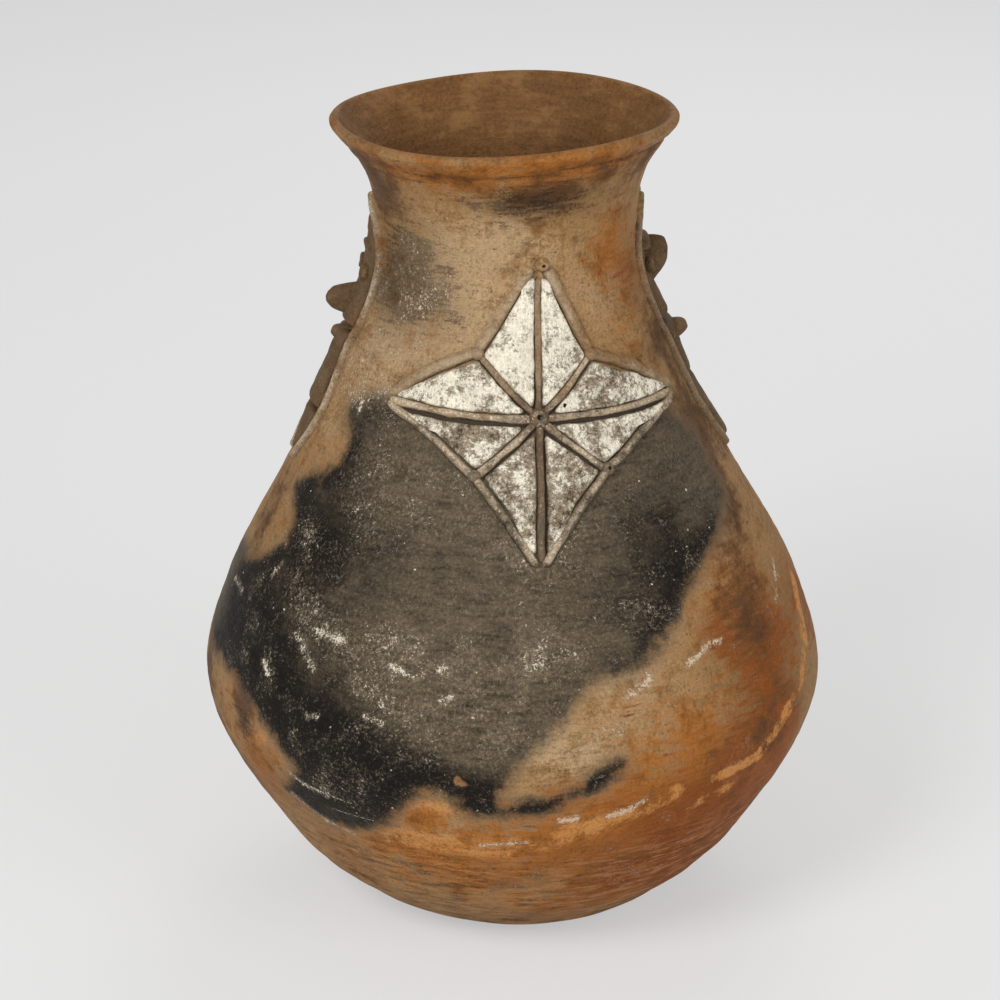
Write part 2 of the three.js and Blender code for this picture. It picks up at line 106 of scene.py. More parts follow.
# How wide the fields end near the tips, for the two that end wide and for the others
WIDE_ENDS = {"top_to_upper_left": 12, "top_to_upper_right": 7}
NARROW_END = 2.8
# How far the fields stop short of each tip, and how far beside and beyond it the edges end
TIP_CLEARANCE = {"top": 1, "right": 4, "bottom": 5, "left": 6}
TIP_SPREAD = {"top": 5.5, "right": 2, "bottom": 1.6, "left": 2}
TIP_REACH = {"top": 6, "right": 0, "bottom": 2.5, "left": 0}
# Where each side of the star bends on its way from a corner to a tip
SIDE_BENDS = {
    "top_to_upper_left": (-10, 90),
    "top_to_upper_right": (22, 92),
    "right_to_upper_right": (89, 22.5),
    "right_to_lower_right": (82, -17),
    "bottom_to_lower_right": (20, -60),
    "bottom_to_lower_left": (-25, -64),
    "left_to_lower_left": (-78, -14),
    "left_to_upper_left": (-83, 28.5),
}
# A small hole poked in one field, as (field, across, up)
FIELD_HOLE = ("right_to_upper_right", 20.1, 6.8)
# How much lime each field still holds, from bare to whole, and how smoked its bare clay is
FIELD_LIME = {
    "top_to_upper_left": (1.25, 0.3),
    "top_to_upper_right": (1.05, 0.6),
    "left_to_upper_left": (1.0, 0.4),
    "left_to_lower_left": (0.48, 1.0),
    "right_to_upper_right": (0.66, 1.0),
    "right_to_lower_right": (0.78, 1.0),
    "bottom_to_lower_right": (0.42, 1.0),
    "bottom_to_lower_left": (0.4, 1.0),
}
# Places where lime lasted or wore off, as (field, across, up, reach, amount)
LIME_SPOTS = [
    ("right_to_upper_right", 17, 6, 13, 0.8), ("right_to_upper_right", 96, 5, 22, 0.4),
    ("right_to_upper_right", 62, 22, 20, -0.15), ("right_to_lower_right", 105, -6, 20, 0.35),
    ("right_to_lower_right", 30, -12, 16, -0.1), ("top_to_upper_right", 26, 26, 16, -0.3),
    ("top_to_upper_right", 14, 78, 26, 0.3), ("left_to_upper_left", -58, 12, 22, -0.12),
    ("left_to_lower_left", -40, -24, 10, 0.5), ("left_to_lower_left", -82, -6, 14, 0.35),
    ("left_to_lower_left", -52, -8, 16, -0.3), ("left_to_lower_left", -16, -6, 9, 0.3),
    ("bottom_to_lower_left", -22, -44, 14, 0.2), ("bottom_to_lower_left", -9, -78, 12, 0.4),
    ("bottom_to_lower_right", 22, -44, 12, 0.15), ("bottom_to_lower_right", 4, -72, 12, -0.15),
    ("bottom_to_lower_right", 10, -16, 12, 0.3), ("bottom_to_lower_left", -10, -20, 12, 0.1),
]

# The sides whose edging is smeared out into the wall
UPPER_SIDES = ("top_to_upper_left", "top_to_upper_right", "left_to_upper_left", "right_to_upper_right")
# Each rib: the side on which drying opened a crack along it, seen outwards, the crack's width in millimetres,
# how dark the fire left the rib and how much lime it holds
RIBS = {
    "top": ("left", 0.4, 0.4, 0.15),
    "right": ("right", 1.9, 0.05, 0.45),
    "bottom": ("left", 1.0, 0.7, 0.15),
    "left": ("left", 2.8, 0.05, 0.5),
    "upper_right": ("right", 0.9, 0.1, 0.45),
    "lower_right": ("right", 1.8, 0.2, 0.5),
    "lower_left": ("left", 1.4, 0.15, 0.45),
    "upper_left": ("left", 0.4, 0.5, 0.25),
}
# How much darker the clay is round the star's middle, and how far out
HUB_DARKNESS = 0.9
HUB_REACH = 17

# Masks on the sides, as [half width, up] from a middle on the neck
MASK_BELOW_NECK = 25
MASK_OUTLINE = np.array([
    (6, 45), (20, 25), (29, 0), (23, -39), (15, -71), (20, -106), (16, -130), (6, -157),
])
FACE_FOOT = -53
TAIL_TOP = -58
TAIL_FOOT = -153
SHINGLE_STEP = 3
BROW_RISE = 2
BROW_HALF_SPAN = 18
BROW_ARCH = 7
EYE_RISE = -11
EYE_SPREAD = 14
EYE_RADIUS = 4.6
NOSE_HALF_WIDTH = 8
CHIN_RADIUS = 8
# Each plate is given by its thickness at its top and at its foot, and each lug by (up, half height, reach,
# how far its tip rises)
MASKS = {
    "left": {
        "azimuth": -86, "face_top": 30, "face": (3, 9), "split": -116, "upper_tail": (7.5, 7),
        "lower_tail": (5, 2), "nose": (-35, 16, 27.5, -6), "chin": (-62, 8, 14, -2),
    },
    "right": {
        "azimuth": 96, "face_top": 16, "face": (1.5, 8), "split": -98, "upper_tail": (8, 4),
        "lower_tail": (2.5, 4.5), "nose": (-12, 22, 23, 7), "chin": (-67, 10, 18, -1),
    },
}

# The fire cloud's outline as (azimuth, height), clockwise from its upper left
CLOUD_OUTLINE = np.array([
    (-62, 419), (-52, 428), (-39, 430), (-12, 425), (11, 439), (37, 435), (56, 422), (68, 391), (69, 346),
    (54, 324), (43, 307), (35, 286), (28, 268), (25, 261), (17, 259), (12, 247), (6, 224), (1, 199),
    (-2, 180), (-1, 166), (-6, 158), (-9, 164), (-10, 174), (-13, 180), (-17, 175), (-20, 160), (-24, 139),
    (-29, 128), (-37, 124), (-44, 131), (-48, 142), (-45, 157), (-43, 171), (-46, 181), (-50, 194),
    (-55, 204), (-61, 212), (-68, 215), (-76, 213), (-85, 216), (-93, 226), (-99, 250), (-97, 274),
    (-86, 286), (-76, 286), (-68, 300), (-62, 315), (-63, 325), (-66, 339), (-71, 349), (-65, 362),
    (-54, 379), (-54, 395), (-59, 405),
])
# A lick of flame below the cloud, as (azimuth, height, half width)
FLAME_LICK = np.array([
    (-3, 165, 7), (5, 169, 6), (9, 175, 6), (13.5, 183, 6), (16, 191, 6), (19, 196, 4.5),
])
# Soft patches on the wall, each as (azimuth, height, half width, half height, amount)
SOOT_PATCHES = [
    (-69, 256, 46, 49, 1.0), (-52, 219, 28, 56, 1.0), (-34, 207, 60, 33, 1.0), (-26, 172, 51, 23, 1.0),
    (-50, 325, 38, 30, 0.6), (-48, 412, 26, 16, 0.3), (-6, 180, 29, 19, 0.9), (-14, 196, 38, 23, 0.6),
    (40, 315, 60, 66, 1.1), (27, 291, 29, 27, 0.15), (-29, 329, 30, 39, 0.4), (17, 309, 38, 28, 0.3),
    (15, 192, 45, 11, 1.0), (4, 172, 26, 11, 1.0), (2, 287, 29, 15, -0.35), (-8, 248, 43, 33, -0.3),
    (-15, 309, 38, 26, -0.25), (-64, 240, 70, 70, 0.6), (-46, 190, 90, 40, 0.5), (-38, 146, 60, 20, 0.8),
    (-52, 395, 30, 30, 0.3), (-62, 340, 30, 40, 0.3), (-52, 360, 66, 66, 0.4), (-44, 260, 90, 90, 0.35),
]
PALE_PATCHES = [
    (-2, 545, 46, 34, 1.0), (-27, 480, 38, 24, 0.6), (-46, 462, 70, 40, 0.9), (9, 209, 35, 20, 0.9),
    (22, 248, 42, 21, 0.55), (-8, 146, 43, 10, 0.35), (37, 502, 23, 28, 0.4), (40, 269, 22, 25, 0.1),
    (-70, 398, 41, 24, 0.35), (-13, 164, 26, 14, 0.5), (-8, 128, 60, 14, 0.9), (-14, 500, 26, 34, 0.5),
    (-42, 520, 40, 40, 0.8), (36, 220, 51, 19, 0.25), (150, 470, 90, 60, 0.4), (-140, 330, 110, 80, 0.35),
    (170, 150, 120, 30, 0.4),
]
ORANGE_PATCHES = [
    (0, 604, 900, 20, 0.75), (9, 129, 128, 33, 0.9), (34, 139, 60, 35, 0.7), (-15, 161, 26, 16, 0.55),
    (19, 610, 67, 22, 0.5), (52, 538, 29, 35, 0.5), (57, 472, 24, 26, 0.35), (-70, 352, 41, 30, 0.25),
    (-59, 172, 39, 50, 0.7), (55, 282, 54, 60, 0.8), (33, 201, 51, 38, 0.6), (-15, 98, 70, 39, 0.6),
    (0, 48, 170, 40, 0.35), (-50, 377, 20, 14, 0.5), (14, 173, 45, 17, 0.6), (-9, 190, 7, 7, 0.6),
    (26, 67, 68, 40, 0.5), (120, 260, 120, 110, 0.6), (-150, 200, 130, 80, 0.6),
]
RUST_PATCHES = [
    (-9, 190, 7, 7, 0.8), (57, 220, 46, 63, 1.0), (47, 144, 91, 51, 0.9), (31, 105, 69, 46, 0.6),
    (76, 252, 48, 35, 0.5), (46, 264, 26, 26, 0.5), (53, 68, 125, 68, 0.8), (21, 593, 45, 13, 0.3),
    (65, 310, 27, 21, 0.25), (-9, 89, 46, 26, 0.25), (-60, 140, 50, 46, 0.4), (68, 505, 24, 50, 0.3),
    (100, 190, 90, 90, 0.6), (-110, 150, 90, 60, 0.4),
]
BROWN_PATCHES = [
    (0, 606, 900, 16, 0.35), (-62, 590, 40, 30, 0.6), (62, 595, 40, 30, 0.6), (69, 390, 53, 48, 0.9),
    (76, 461, 35, 25, 0.5), (14, 584, 52, 18, 0.9), (-89, 265, 40, 22, 0.7), (2, 40, 120, 28, 0.15),
    (58, 300, 44, 44, 0.6), (50, 262, 50, 40, 0.35), (-58, 194, 16, 26, 1.2), (-9, 190, 6, 6, 0.8),
    (-80, 190, 30, 60, 0.8), (-80, 320, 26, 50, 0.6), (-66, 150, 40, 50, 0.3), (59, 200, 31, 32, 0.35),
    (46, 414, 30, 31, 0.5), (65, 342, 27, 36, 0.5), (-80, 443, 40, 30, 0.4), (-23, 63, 58, 40, 0.2),
    (50, 179, 35, 27, 0.4), (-62, 576, 41, 24, 0.4), (-75, 130, 50, 40, 0.5), (120, 380, 110, 90, 0.6),
    (-130, 250, 90, 60, 0.5), (-12, 20, 200, 20, 0.2),
]
# Dark smudges on the neck. The three at the front just under the lip, 573 to 583 high, are a painted shadow
# under the rim
SMUDGE_AND_SHADE_PATCHES = [
    (-44, 528, 36, 36, 0.85), (-60, 520, 32, 48, 0.65), (-32, 498, 30, 20, 0.5), (3, 583, 32, 17, 0.55),
    (16, 580, 36, 15, 0.6), (34, 573, 30, 12, 0.35), (-57, 194, 15, 28, 0.7), (-56, 453, 6, 4, 0.7),
    (-54, 500, 29, 21, 0.5), (-44, 484, 40, 30, 0.4), (61, 404, 23, 30, 0.35), (-160, 400, 70, 60, 0.5),
    (110, 470, 40, 50, 0.4),
]
WORN_PATCHES = [
    (-60, 240, 60, 90, 0.1), (-32, 494, 34, 34, 0.25), (-44, 500, 44, 50, 0.4), (-60, 450, 60, 50, 0.35),
    (-31, 276, 29, 17, 0.5), (-45, 278, 26, 14, 0.5), (-61, 422, 17, 7, 0.6), (-57, 332, 15, 14, 0.75),
    (-52, 299, 16, 27, 0.2), (-31, 167, 49, 20, 0.4), (-14, 272, 42, 19, 0.35), (8, 272, 28, 18, 0.5),
    (8, 355, 43, 46, 0.3), (-36, 365, 43, 47, 0.35), (-51, 235, 19, 22, 0.25), (29, 304, 30, 26, 0.25),
    (-7, 234, 44, 28, 0.35), (-24, 227, 37, 27, 0.35), (48, 316, 16, 23, 0.2), (-80, 443, 75, 30, 0.25),
    (10, 88, 108, 37, 0.2), (-28, 561, 45, 25, 0.2),
]
# White rubbed marks, as (azimuth, height) at their two ends, half width and amount
RUBBED_MARKS = [
    (36, 256, 39, 260, 2.6, 1.55), (39, 260, 42, 264, 2.4, 1.35), (43.5, 264, 45.5, 263.5, 1.8, 1.25),
    (22.6, 245, 26.7, 252.4, 4, 1.15), (74.7, 286, 67.1, 266, 2.2, 1.2), (64.7, 277, 73.6, 276, 2.4, 0.8),
    (8.5, 155.4, 11.5, 156, 3, 1.25), (17.4, 154, 21, 157, 3, 1.15), (21.5, 158, 24.5, 164, 3, 1.35),
    (-6, 131.5, 2.2, 134.4, 2.6, 1.25), (-44.8, 163.8, -41.6, 156.9, 2, 1.1),
    (-41.6, 156.9, -35.6, 154.6, 2, 0.9), (-46.1, 138.5, -39.4, 124.4, 3, 0.95),
    (-39.4, 124.4, -32.7, 119.3, 2.5, 0.9), (-47.2, 267.2, -43.7, 261.7, 2, 1.0),
    (-42.3, 274.7, -38.4, 273.5, 3, 0.9), (-38.4, 273.5, -34.5, 273.4, 2.5, 1.0),
    (-54.5, 238.3, -51.9, 231.5, 2, 1.3), (-44, 259.3, -40.7, 248.7, 3.4, 0.95),
    (-30, 246, -22, 238, 9, 0.6), (-23.5, 264.4, -18.7, 258.3, 2.5, 1.1),
    (-17.4, 260.2, -12.5, 267.2, 2.2, 0.85), (-13.1, 246.1, -11.5, 247.2, 3, 1.2),
    (-39.9, 215.1, -37.4, 217.3, 2.2, 1.2), (-27.7, 227.1, -23.6, 223.7, 1.6, 1.2),
    (-61.3, 291.8, -59.4, 304.8, 2, 1.1), (-78.4, 267.5, -71.1, 268, 2.5, 0.85),
    (-54.1, 415.3, -54.6, 422.7, 2, 1.2), (70, 240, 72, 226, 2, 0.6), (12, 213, 20, 222, 6, 0.5),
    (-36, 160, -30, 156, 6, 0.45),
]
# Bright orange marks low on the jar, written like the rubbed marks. The two about 130 high on the front are
# painted light: they brighten the foot where it faces down and takes less light
GLOWING_AND_PAINTED_LIGHT_MARKS = [
    (82, 262, 74, 226, 7, 0.9), (62, 196, 50, 168, 5, 0.9), (50, 168, 38, 165, 4, 0.8),
    (30, 164, 22, 152, 7, 0.7), (22, 152, 10, 144, 7, 0.8), (74, 226, 66, 200, 5, 0.6),
    (44, 150, 34, 146, 5, 0.5), (-50, 186, -56, 172, 5, 0.5), (-24, 130, -2, 128, 10, 0.8),
    (-2, 128, 14, 140, 9, 0.7), (-18, 164, -8, 166, 8, 0.6),
]
# Fine scratches, each from one (azimuth, height) to another
SCRATCHES = [
    ((-42.8, 158.7), (-30, 153.3)),
    ((-36, 141.7), (-26.2, 141.4)),
]
# Further than this from a scratch, its distance no longer counts
SCRATCH_REACH = 4
# Spots that the fire cloud left clear, written like the patches, with millimetres of its edge as the amount
CLEAR_SPOTS = [(-9.4, 190.5, 3.2, 4, 34), (-8.2, 188, 3, 2.4, 24)]
# A distance that stands for out of reach
FAR = 60
# A mark is whole up to the first share of its half width, and gone at the second
MARK_CORE = 0.4
MARK_END = 2

# Unevenness left by hands and scraper, in layers of (spacing, share of its whole height, seed)
HAND_LUMPS = ((75, 1, 1), (28, 0.5, 2), (9, 0.16, 3))
WIPED_BANDS = (((60, 60, 4.5), 1, 4), ((30, 30, 2.8), 0.6, 5))
SCRAPED_BANDS = (((70, 70, 9), 1.6, 6), ((22, 22, 5), 0.9, 7))
# How far the worked surface keeps inside the even wall, in heights of its lumps
LUMPS_INWARD = 1.7
# Dents in the inner face, as (spacing, height in millimetres, seed)
INNER_DENTS = ((40, 0.8, 21), ((50, 50, 7), 0.5, 22))
# The foot is scraped below the first of these heights, and most of all below the second
SCRAPED_TOP = 140
SCRAPED_FOOT = 95
FOOT_EDGE = 5
# Creases under the lip, by their heights. The lower one lies on the left alone
FOLD_DEPTH = 1.7
FOLD_DRIFT = 3.5
UPPER_FOLD = 603
UPPER_FOLD_WIDTH = 2.2
LOWER_FOLD = 594
LOWER_FOLD_WIDTH = 1.6
LOWER_FOLD_AZIMUTH = -40
LOWER_FOLD_SPREAD = 38


def srgb(red, green, blue):
    """A colour given from 0 to 255 as it looks, in the linear numbers that shaders use."""
    shares = [c / 255 for c in (red, green, blue)]
    return tuple(c / 12.92 if c <= 0.04045 else ((c + 0.055) / 1.055) ** 2.4 for c in shares)


def colour_property(name, description, red, green, blue):
    return bpy.props.FloatVectorProperty(
        name=name, description=description, subtype="COLOR", size=3, min=0, max=1,
        default=srgb(red, green, blue),
    )


def length_property(name, description, millimetres):
    return bpy.props.FloatProperty(
        name=name, description=description, subtype="DISTANCE", unit="LENGTH", min=0,
        default=millimetres * MM, precision=5,
    )


class ClayColours(bpy.types.PropertyGroup):
    tan: colour_property("Tan clay", "Clay where the fire was mild", 154, 118, 76)
    pale: colour_property("Pale clay", "Clay where ash lay on it", 172, 143, 106)
    orange: colour_property("Orange clay", "Clay where the fire was hot", 168, 104, 42)
    rust: colour_property("Rust clay", "Clay where the fire was hottest", 132, 70, 20)
    # Bright clay is also the colour of the painted light on the foot
    glow: colour_property("Bright clay", "Clay in the brightest marks of the fire", 198, 136, 72)
    # Brown is also the colour of the painted shade on the flanks of strips and along the edges of the fields
    brown: colour_property("Brown clay", "Clay darkened by handling", 86, 59, 36)
    ash: colour_property("Ash clay", "Applied clay greyed by lime and ash", 150, 134, 112)
    smoke: colour_property("Smoked clay", "Middle of the fire cloud", 92, 80, 63)
    # Soot is also the black of the painted shade in the creases of applied clay and in the hole of a field
    soot: colour_property("Soot", "Darkest part of the fire cloud", 24, 19, 14)
    inside: colour_property("Inside", "Clay on the inside of the mouth", 119, 83, 48)
    lime: colour_property("Lime", "Lime paint and rubbed white marks", 238, 229, 208)
    grit: colour_property("Grit", "Red grit that shows in the clay", 112, 48, 24)


class ClaySurface(bpy.types.PropertyGroup):
    lumps: length_property("Hand lumps", "Height of the unevenness left by the hands", 0.55)
    scraping: length_property("Scraping", "Height of the horizontal marks of the scraper", 0.22)
    grain: length_property("Grain", "Depth of the grain in the bump of the clay", 0.5)
    rib_width: length_property("Rib width", "Width of the ribs of the star", 6)
    rib_height: length_property("Rib height", "Height of the ribs of the star", 3.2)
    edge_width: length_property("Edge width", "Width of the strips round the star", 8)
    edge_height: length_property("Edge height", "Height of the strips round the star", 5)
    field_thickness: length_property("Field thickness", "Thickness of the painted pads at their edge", 3.4)
    field_crown: length_property("Field crown", "Rise of the painted pads in their middle", 1.2)
    pellet_radius: length_property("Pellet radius", "Radius of the pellets of the star", 5)
    pellet_height: length_property("Pellet height", "Height of the pellets of the star", 7)
    boss_radius: length_property("Boss radius", "Radius of the boss in the star's middle", 7.5)
    boss_height: length_property("Boss height", "Height of the boss in the star's middle", 7.5)
    border_width: length_property("Border width", "Width of the border of a mask", 7.5)
    border_height: length_property("Border height", "Height of the border of a mask", 4.5)
    brow_width: length_property("Brow width", "Width of the brow of a mask", 8)
    brow_height: length_property("Brow height", "Height of the brow of a mask", 9)
    eye_height: length_property("Eye height", "Height of the rolled eyes of a mask", 10.5)
    eye_roll: length_property("Eye roll", "Width of the roll of clay round an eye", 4.5)


def colours():
    return bpy.context.scene.jar_colours


def size(name):
    """A length of the surface settings in millimetres."""
    return getattr(bpy.context.scene.jar_surface, name) / MM


# Shape of the wall
def station_slopes():
    rise = np.diff(STATIONS[:, 0])
    rate = np.diff(STATIONS[:, 1]) / rise
    middle = (rate[:-1] * rise[1:] + rate[1:] * rise[:-1]) / (rise[:-1] + rise[1:])
    return np.concatenate([rate[:1], middle, rate[-1:]])


SLOPES = station_slopes()


def smooth_cubic(t, start, end, leaving, arriving):
    """A smooth curve from a start to an end, with the rates at which it leaves and arrives."""
    return (
        (2 * t**3 - 3 * t**2 + 1) * start + (t**3 - 2 * t**2 + t) * leaving
        + (3 * t**2 - 2 * t**3) * end + (t**3 - t**2) * arriving
    )


def profile(height):
    """Radius and slope of the outer face at a height, on a smooth cubic between stations."""
    z = np.clip(np.asarray(height, float), 0, HEIGHT)
    k = np.clip(np.searchsorted(STATIONS[:, 0], z) - 1, 0, len(STATIONS) - 2)
    span = STATIONS[k + 1, 0] - STATIONS[k, 0]
    t = (z - STATIONS[k, 0]) / span
    start, end = STATIONS[k, 1], STATIONS[k + 1, 1]
    leaving, arriving = SLOPES[k] * span, SLOPES[k + 1] * span
    bend = (6 * t**2 - 6 * t) * (start - end)
    rate = bend + (3 * t**2 - 4 * t + 1) * leaving + (3 * t**2 - 2 * t) * arriving
    return smooth_cubic(t, start, end, leaving, arriving), rate / span


def smoothstep(value, low, high):
    t = np.clip((np.asarray(value, float) - low) / (high - low), 0, 1)
    return t * t * (3 - 2 * t)


def wall(azimuth, height, out=0.0):
    """Points at a distance out from the wall's outer face. Azimuth 0 is the front, and 90 is +X."""
    azimuth, height, out = np.broadcast_arrays(*(np.asarray(v, float) for v in (azimuth, height, out)))
    radius, slope = profile(height)
    a = np.radians(azimuth)
    length = np.hypot(1, slope)
    wobble = HAND_WOBBLE / 2 * sum(np.sin(count * a + height / rise) for count, rise in WOBBLE_WAVES)
    r = radius + wobble + out / length
    wave = LIP_WAVE * np.cos(a - np.radians(LIP_WAVE_AZIMUTH))
    wave = wave + LIP_RIPPLE * np.cos(3 * (a - np.radians(LIP_RIPPLE_AZIMUTH)))
    rise = smoothstep(height, NECK_HEIGHT, HEIGHT) * wave
    shift = LEAN * np.maximum(0, height / HEIGHT) ** 1.5
    return np.stack([r * np.sin(a) + shift, -r * np.cos(a), height - out * slope / length + rise], -1)


def lattice(cells, seed):
    """A repeatable number from -1 to 1 for each cell of a lattice."""
    mask = 0xFFFFFFFF
    mixed = cells[..., 0] * 374761393 + cells[..., 1] * 668265263 + cells[..., 2] * 1103515245 + seed * 97531
    mixed = mixed & mask
    mixed = ((mixed ^ (mixed >> 13)) * 1274126177) & mask
    return ((mixed ^ (mixed >> 16)) & 0xFFFF) / 32767.5 - 1


def noise(points, spacing, seed):
    """Smooth noise from -1 to 1 whose lumps lie about a spacing apart."""
    scaled = points / np.asarray(spacing, float)
    cells = np.floor(scaled).astype(np.int64)
    share = scaled - cells
    share = share * share * (3 - 2 * share)
    total = 0
    for corner in np.ndindex(2, 2, 2):
        weight = np.prod(np.where(corner, share, 1 - share), axis=-1)
        total = total + weight * lattice(cells + np.array(corner), seed)
    return total


def layered(points, layers):
    """Noises added up, each from its spacing, its height and its seed."""
    return sum(height * noise(points, spacing, seed) for spacing, height, seed in layers)


def unevenness(azimuth, height):
    """How far the worked surface lies from the even wall. It stays on the inner side of it."""
    points = wall(azimuth, height)
    lumps = size("lumps") * (layered(points, HAND_LUMPS) - LUMPS_INWARD)
    scraped = smoothstep(height, SCRAPED_TOP, SCRAPED_FOOT) * layered(points, SCRAPED_BANDS)
    bands = size("scraping") * (layered(points, WIPED_BANDS) + scraped)
    return (lumps + bands - lip_folds(azimuth, height, points)) * smoothstep(height, 0, FOOT_EDGE)


def hump(distance, reach):
    """1 in the middle, about a third at the reach, and next to nothing at twice the reach."""
    return np.exp(-((distance / reach) ** 2))


def lip_folds(azimuth, height, points):
    """The creases left where the last coil was folded out and smeared down the neck."""
    level = points * (1, 1, 0)
    drift = FOLD_DRIFT * noise(level, 55, 8)
    fade = 0.5 + 0.5 * noise(level, 48, 9)
    on_left = hump(np.asarray(azimuth) - LOWER_FOLD_AZIMUTH, LOWER_FOLD_SPREAD)
    upper = hump(height - UPPER_FOLD - drift, UPPER_FOLD_WIDTH) * (0.5 + fade)
    lower = hump(height - LOWER_FOLD + 1.3 * drift, LOWER_FOLD_WIDTH) * on_left
    return FOLD_DEPTH * (upper + lower)


# Colour of the firing, as numbers that the materials read at each vertex
def on_wall(azimuth, height, to_azimuth, to_height):
    """Steps along the wall to a place, around and up the slope, in millimetres."""
    radius, slope = profile(height)
    turn = (azimuth - to_azimuth + 180) % 360 - 180
    return np.radians(turn) * radius, (height - to_height) * np.hypot(1, slope)


def patches(azimuth, height, spots):
    total = np.zeros(np.shape(azimuth))
    for spot_azimuth, spot_height, half_width, half_height, amount in spots:
        around, up = on_wall(azimuth, height, spot_azimuth, spot_height)
        total += amount * hump(around, half_width) * hump(up, half_height)
    return total


def segment_distance(azimuth, height, start, end):
    """Distance to a stretch of the wall, which side of it, and how far along it the nearest place is."""
    x, y = on_wall(azimuth, height, start[0], start[1])
    end_x, end_y = on_wall(np.asarray(end[0]), np.asarray(end[1]), start[0], start[1])
    along = np.clip((x * end_x + y * end_y) / (end_x**2 + end_y**2), 0, 1)
    side = np.sign(x * end_y - y * end_x)
    return np.hypot(x - along * end_x, y - along * end_y), side, along


def inside_outline(azimuth, height, outline):
    inside = np.zeros(np.shape(azimuth), bool)
    for (a0, z0), (a1, z1) in zip(outline, np.roll(outline, -1, axis=0)):
        if z0 == z1:
            continue
        crossing = a0 + (height - z0) * (a1 - a0) / (z1 - z0)
        inside ^= ((z0 > height) != (z1 > height)) & (azimuth < crossing)
    return inside


def cloud_depth(azimuth, height):
    """Millimetres from the edge of the fire cloud, positive inside it."""
    edge = np.full(np.shape(azimuth), float(FAR))
    for start, end in zip(CLOUD_OUTLINE, np.roll(CLOUD_OUTLINE, -1, axis=0)):
        edge = np.minimum(edge, segment_distance(azimuth, height, start, end)[0])
    depth = np.where(inside_outline(azimuth, height, CLOUD_OUTLINE), edge, -edge)
    for start, end in zip(FLAME_LICK[:-1], FLAME_LICK[1:]):
        distance, _, along = segment_distance(azimuth, height, start, end)
        depth = np.maximum(depth, start[2] + (end[2] - start[2]) * along - distance)
    return depth


def scratch_offset(azimuth, height):
    """Signed millimetres from a fine scratch, so that its line stays sharp between vertices."""
    offset = np.full(np.shape(azimuth), float(FAR))
    for start, end in SCRATCHES:
        distance, side, along = segment_distance(azimuth, height, start, end)
        beside = (along > 0) & (along < 1) & (distance < SCRATCH_REACH)
        offset = np.where(beside, distance * side, offset)
    return offset


def marks(azimuth, height, spots, ground):
    """Marks along short lines on the wall, over what already lies there."""
    total = ground
    for a0, z0, a1, z1, half_width, amount in spots:
        distance = segment_distance(azimuth, height, (a0, z0), (a1, z1))[0]
        fading = smoothstep(distance, MARK_CORE * half_width, MARK_END * half_width)
        total = np.maximum(total, amount * (1 - fading))
    return total


def firing(azimuth, height):
    """What the fire and long use left at each place on the wall, with painted shade among the smudges and
    painted light among the bright orange marks.
    """
    azimuth = (np.asarray(azimuth, float) + 180) % 360 - 180
    folds = lip_folds(azimuth, height, wall(azimuth, height)) / FOLD_DEPTH
    return {
        "cloud": cloud_depth(azimuth, height) - patches(azimuth, height, CLEAR_SPOTS),
        "soot": patches(azimuth, height, SOOT_PATCHES),
        "pale": patches(azimuth, height, PALE_PATCHES),
        "orange": patches(azimuth, height, ORANGE_PATCHES),
        "rust": patches(azimuth, height, RUST_PATCHES),
        "brown": patches(azimuth, height, BROWN_PATCHES),
        # The folds under the lip add painted shade in their creases
        "smudge": patches(azimuth, height, SMUDGE_AND_SHADE_PATCHES) + 0.5 * folds,
        "rubbed": marks(azimuth, height, RUBBED_MARKS, patches(azimuth, height, WORN_PATCHES)),
        "glowing": marks(azimuth, height, GLOWING_AND_PAINTED_LIGHT_MARKS, 0),
        "scratch": scratch_offset(azimuth, height),
        "scraped": smoothstep(height, SCRAPED_TOP, SCRAPED_FOOT),
    }


# Meshes
def make_piece(node, suffix, points, faces, values, material, loop_normals=None):
    """A mesh that stands for a node of the frame, with a number at each vertex for each named value."""
    name = f"{node}_{suffix}"
    mesh = bpy.data.meshes.new(name)
    mesh.from_pydata((points * MM).tolist(), [], faces)
    mesh.polygons.foreach_set("use_smooth", np.ones(len(mesh.polygons), bool))
    for key, numbers in values.items():
        layer = mesh.attributes.new(key, "FLOAT", "POINT")
        layer.data.foreach_set("value", np.asarray(numbers, np.float32).ravel())
    if loop_normals is not None:
        mesh.normals_split_custom_set(loop_normals.tolist())
    mesh.materials.append(material)
    piece = bpy.data.objects.new(name, mesh)
    bpy.context.collection.objects.link(piece)
    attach(piece, BODY)
    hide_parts(node)
    return piece


def steps(start, end, spacing):
    return np.linspace(start, end, max(1, math.ceil(abs(end - start) / spacing)) + 1)


def grid_normals(grid):
    """Normals of a grid of points whose columns close on themselves."""
    around = np.roll(grid, -1, axis=1) - np.roll(grid, 1, axis=1)
    up = np.gradient(grid, axis=0)
    normals = np.cross(around, up)
    length = np.linalg.norm(normals, axis=-1, keepdims=True)
    return normals / np.maximum(length, 1e-9)


SEGMENTS = 640
ROW_STEP = 2.6
INNER_STEP = 7
LIP_ROWS = 7
# The rings that close the foot and the floor, as shares of their outermost one
DISC_SHARES = (0.02, 0.35, 0.7)
AZIMUTHS = np.arange(SEGMENTS) * 360 / SEGMENTS - 180
NO_ROWS = (np.zeros(0), np.zeros((0, SEGMENTS, 3)))


def worked_rows(heights):
    """Rows of the worked outer face."""
    azimuth, height = np.meshgrid(AZIMUTHS, heights)
    return wall(azimuth, height, unevenness(azimuth, height))


